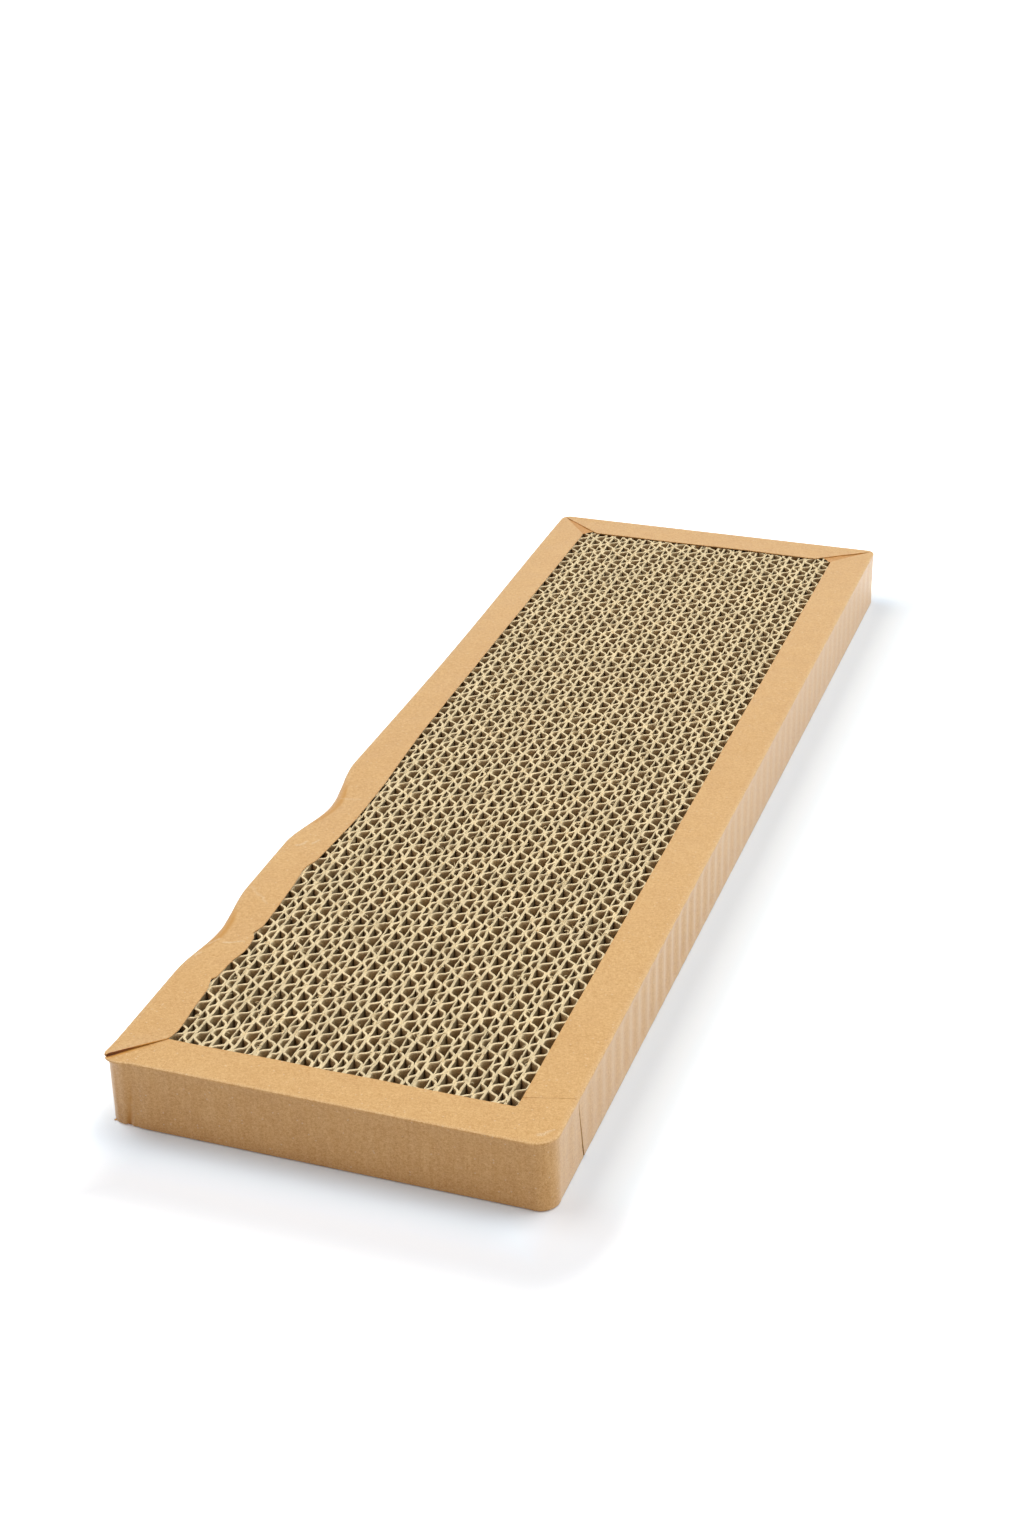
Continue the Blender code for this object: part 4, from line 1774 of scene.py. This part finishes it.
@dataclass
class CornerTucks:
    """The folded ears of tape that show in the open mitres at the back."""

    tape: EdgeTape
    thickness: float = 0.14
    below: float = 0.33
    lengths: int = 14
    widths: int = 8
    reach: Plan = (0.01, 1.05)
    half_widths: Plan = (0.5, 5.6)
    clear: float = 1.3
    wave: float = 0.05
    wave_rates: Plan = (9.0, 2.0)

    def make(self, material: Material) -> None:
        """Make both tucks and put them in the scene."""
        for corner in (Corner.BACK_LEFT, Corner.BACK_RIGHT):
            place_tape(f"{corner.name.lower()}_tuck", self.sheet(corner), self.thickness, material)

    def sheet(self, corner: Corner) -> Mesh:
        """One tuck as a thin sheet, wide at its inner end.

        Args:
            corner: The corner.

        Returns:
            The sheet.
        """
        tape = self.tape
        tip = np.array(tape.round_at(corner, 0.5, tape.fold)[0])
        run = np.array(tape.opening(corner, tape.top)) - tip
        side = np.array((-run[1], run[0])) / np.linalg.norm(run)
        far = np.array((tape.half_width - self.clear, tape.half_length - self.clear))
        points, faces = [], []
        for share in shares(self.lengths):
            for over in (shares(self.widths) - 0.5) * 2:
                middle = tip + run * (self.reach[0] + self.reach[1] * share)
                spot = middle + side * over * (self.half_widths[0] + self.half_widths[1] * share)
                turn = share * self.wave_rates[0] + over * self.wave_rates[1]
                height = tape.height - self.below - self.wave * (math.sin(turn) + 1.0)
                points.append((*(np.clip(spot, -far, far) * MM), height * MM))
        row = self.widths + 1
        for i in range(self.lengths):
            faces += [(a, a + 1, a + row + 1, a + row) for a in range(i * row, i * row + self.widths)]
        mesh = bpy.data.meshes.new(corner.name.lower())
        mesh.from_pydata(points, [], faces)
        for attribute in ("wear_and_highlight", "crush_and_shade"):
            mesh.attributes.new(attribute, "FLOAT", "POINT")
        mesh.update()
        if mesh.polygons[0].normal.z < 0:
            mesh.flip_normals()
        return mesh


@dataclass(frozen=True)
class StudioCamera:
    """The camera, at the photograph's viewing angle."""

    place: tuple[float, float, float] = (0.214501, -0.633769, 0.379663)
    turn: float = -0.3494016
    tilt: float = 0.4965775
    roll: float = -0.0231642
    focal_pixels: float = 2361.55
    sensor: float = 36.0
    clip_start: float = 0.01

    def make(self) -> None:
        """Make the camera and look through it."""
        data = bpy.data.cameras.new("photo_camera")
        data.sensor_width = self.sensor
        data.lens = self.sensor * self.focal_pixels / IMAGE_HEIGHT
        data.clip_start = self.clip_start
        camera = in_scene("photo_camera", data)
        level = Vector((math.sin(self.turn), math.cos(self.turn), 0.0)) * math.cos(self.tilt)
        forward = level - Vector((0.0, 0.0, math.sin(self.tilt)))
        right = Vector((math.cos(self.turn), -math.sin(self.turn), 0.0))
        down = forward.cross(right)
        c, s = math.cos(self.roll), math.sin(self.roll)
        frame = Matrix((right * c - down * s, -(right * s + down * c), -forward)).transposed().to_4x4()
        frame.translation = Vector(self.place)
        camera.matrix_world = frame
        bpy.context.scene.camera = camera
        LOG.info("camera: lens %.2f mm", data.lens)


@dataclass(frozen=True)
class SoftLamp:
    """A large soft lamp that points at the board."""

    name: str
    place: tuple[float, float, float]
    size: Plan
    power: float
    colour: Colour = WHITE

    def make(self) -> None:
        """Hang the lamp."""
        data = bpy.data.lights.new(self.name, "AREA")
        data.shape = "RECTANGLE"
        data.size, data.size_y = self.size
        data.energy = self.power
        data.color = self.colour
        aim = Vector(self.place)
        turned = aim.to_track_quat("Z", "Y").to_matrix().to_4x4()
        in_scene(self.name, data).matrix_world = Matrix.Translation(aim) @ turned
        LOG.info("%s: %.1f W", self.name, self.power)


@dataclass(frozen=True)
class Studio:
    """The plain pale floor, the soft light and the camera."""

    floor: FloorFinish = FloorFinish()
    camera: StudioCamera = StudioCamera()
    ambient: float = 0.16
    lamps: tuple[SoftLamp, ...] = (
        SoftLamp("back_right_softbox", (1.2, 1.2, 3.05), (2.1, 2.1), 66.0),
        SoftLamp("right_softbox", (3.03, 0.0, 1.75), (2.1, 2.1), 23.5),
        SoftLamp("left_softbox", (-1.75, 0.1, 3.03), (2.1, 2.1), 47.0),
        SoftLamp("front_softbox", (0.0, -3.03, 1.75), (2.1, 2.1), 9.3, (1.0, 0.42, 0.25)),
    )
    floor_half: float = 6.0
    floor_drop: float = 0.1

    def make(self) -> None:
        """Set up the studio."""
        self.camera.make()
        for lamp in self.lamps:
            lamp.make()
        self.make_floor()
        self.make_world()
        bpy.context.scene.view_settings.view_transform = "Standard"

    def make_floor(self) -> None:
        """Lay the floor just under the board."""
        corners = ((-1, -1), (1, -1), (1, 1), (-1, 1))
        points = [(x * self.floor_half, y * self.floor_half, -self.floor_drop * MM) for x, y in corners]
        mesh = bpy.data.meshes.new("studio_floor")
        mesh.from_pydata(points, [], [(0, 1, 2, 3)])
        mesh.materials.append(self.floor.material())
        floor = in_scene("studio_floor", mesh)

    def make_world(self) -> None:
        """Light the room evenly, and make it white where it is seen."""
        world = bpy.data.worlds.new("studio_world")
        bpy.context.scene.world = world
        world.use_nodes = True
        world.node_tree.nodes.clear()
        sheet = NodeSheet(world.node_tree)
        strength = self.ambient + sheet.seen() * (1.0 - self.ambient)
        sky = sheet.node("ShaderNodeBackground", {"Color": rgba(WHITE), "Strength": strength})
        sheet.node("ShaderNodeOutputWorld", {"Surface": sky})


TOP_FLAPS = {Side.LEFT: 12.9, Side.RIGHT: 14.0, Side.FRONT: 13.3, Side.BACK: 13.5}
UNDER_FLAPS = {Side.LEFT: 14.4, Side.RIGHT: 13.3, Side.FRONT: 14.0, Side.BACK: 13.8}
TAPE_CREASES = (
    Crease((-60.7, -135.8), (-57.8, -130.9), 0.8, 0.6),
    Crease((-56.0, -132.5), (-50.6, -130.8), 0.8, 0.55),
    Crease((-60.6, -141.2), (-60.0, -139.2), 0.7, 0.6),
    Crease((-61.0, -102.9), (-52.9, -110.0), 0.7, 0.3),
    Crease((-58.2, -76.6), (-56.3, -73.5), 0.9, 0.6),
    Crease((-54.3, -74.3), (-52.7, -71.8), 0.8, 0.55),
    Crease((-60.0, -46.0), (-51.0, -44.5), 0.8, 0.35),
    Crease((57.5, -189.5), (60.5, -186.5), 0.8, 0.6),
)
TAPE = KraftTapeFinish(creases=TAPE_CREASES)
# The tucks' deeper orange is painted shade: they are the tape's own kraft, lying below the flaps in their
# shadow.
SHADED_TUCK = KraftTapeFinish(
    "kraft_tape_tuck", (0.6, 0.3, 0.085), (0.5, 0.24, 0.06), shader=PaperShader(0.45, 0.1, 0.5, 0.12)
)
MEDIUM = BoardPaperFinish("fluting_paper", (0.56, 0.42, 0.22), (0.88, 0.73, 0.45), (0.0, 0.45))
LINER = BoardPaperFinish("liner_paper")
FIBRE = BoardPaperFinish("loose_fibre", (0.9, 0.75, 0.46))


def main() -> None:
    """Build the scene: the frame, the studio, the board's strips, the tape and its tucks."""
    logging.basicConfig(level=logging.INFO, format="%(message)s")
    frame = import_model()
    LOG.info("%d solids", len(frame["nodes"]))
    Studio().make()
    _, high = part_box("edge_tape")
    sizes = (high.x / MM, high.y / MM, high.z / MM)
    edge = CrushedEdge(*sizes)
    cut_edges = CorrugatedCore(BoardBuild(), edge, MEDIUM.material(), LINER.material()).make()
    CutFibres(cut_edges, FIBRE.material()).make()
    tape = EdgeTape(*sizes, edge, TOP_FLAPS, UNDER_FLAPS, TAPE.material())
    tape.make()
    CornerTucks(tape).make(SHADED_TUCK.material())


if __name__ == "__main__":
    main()
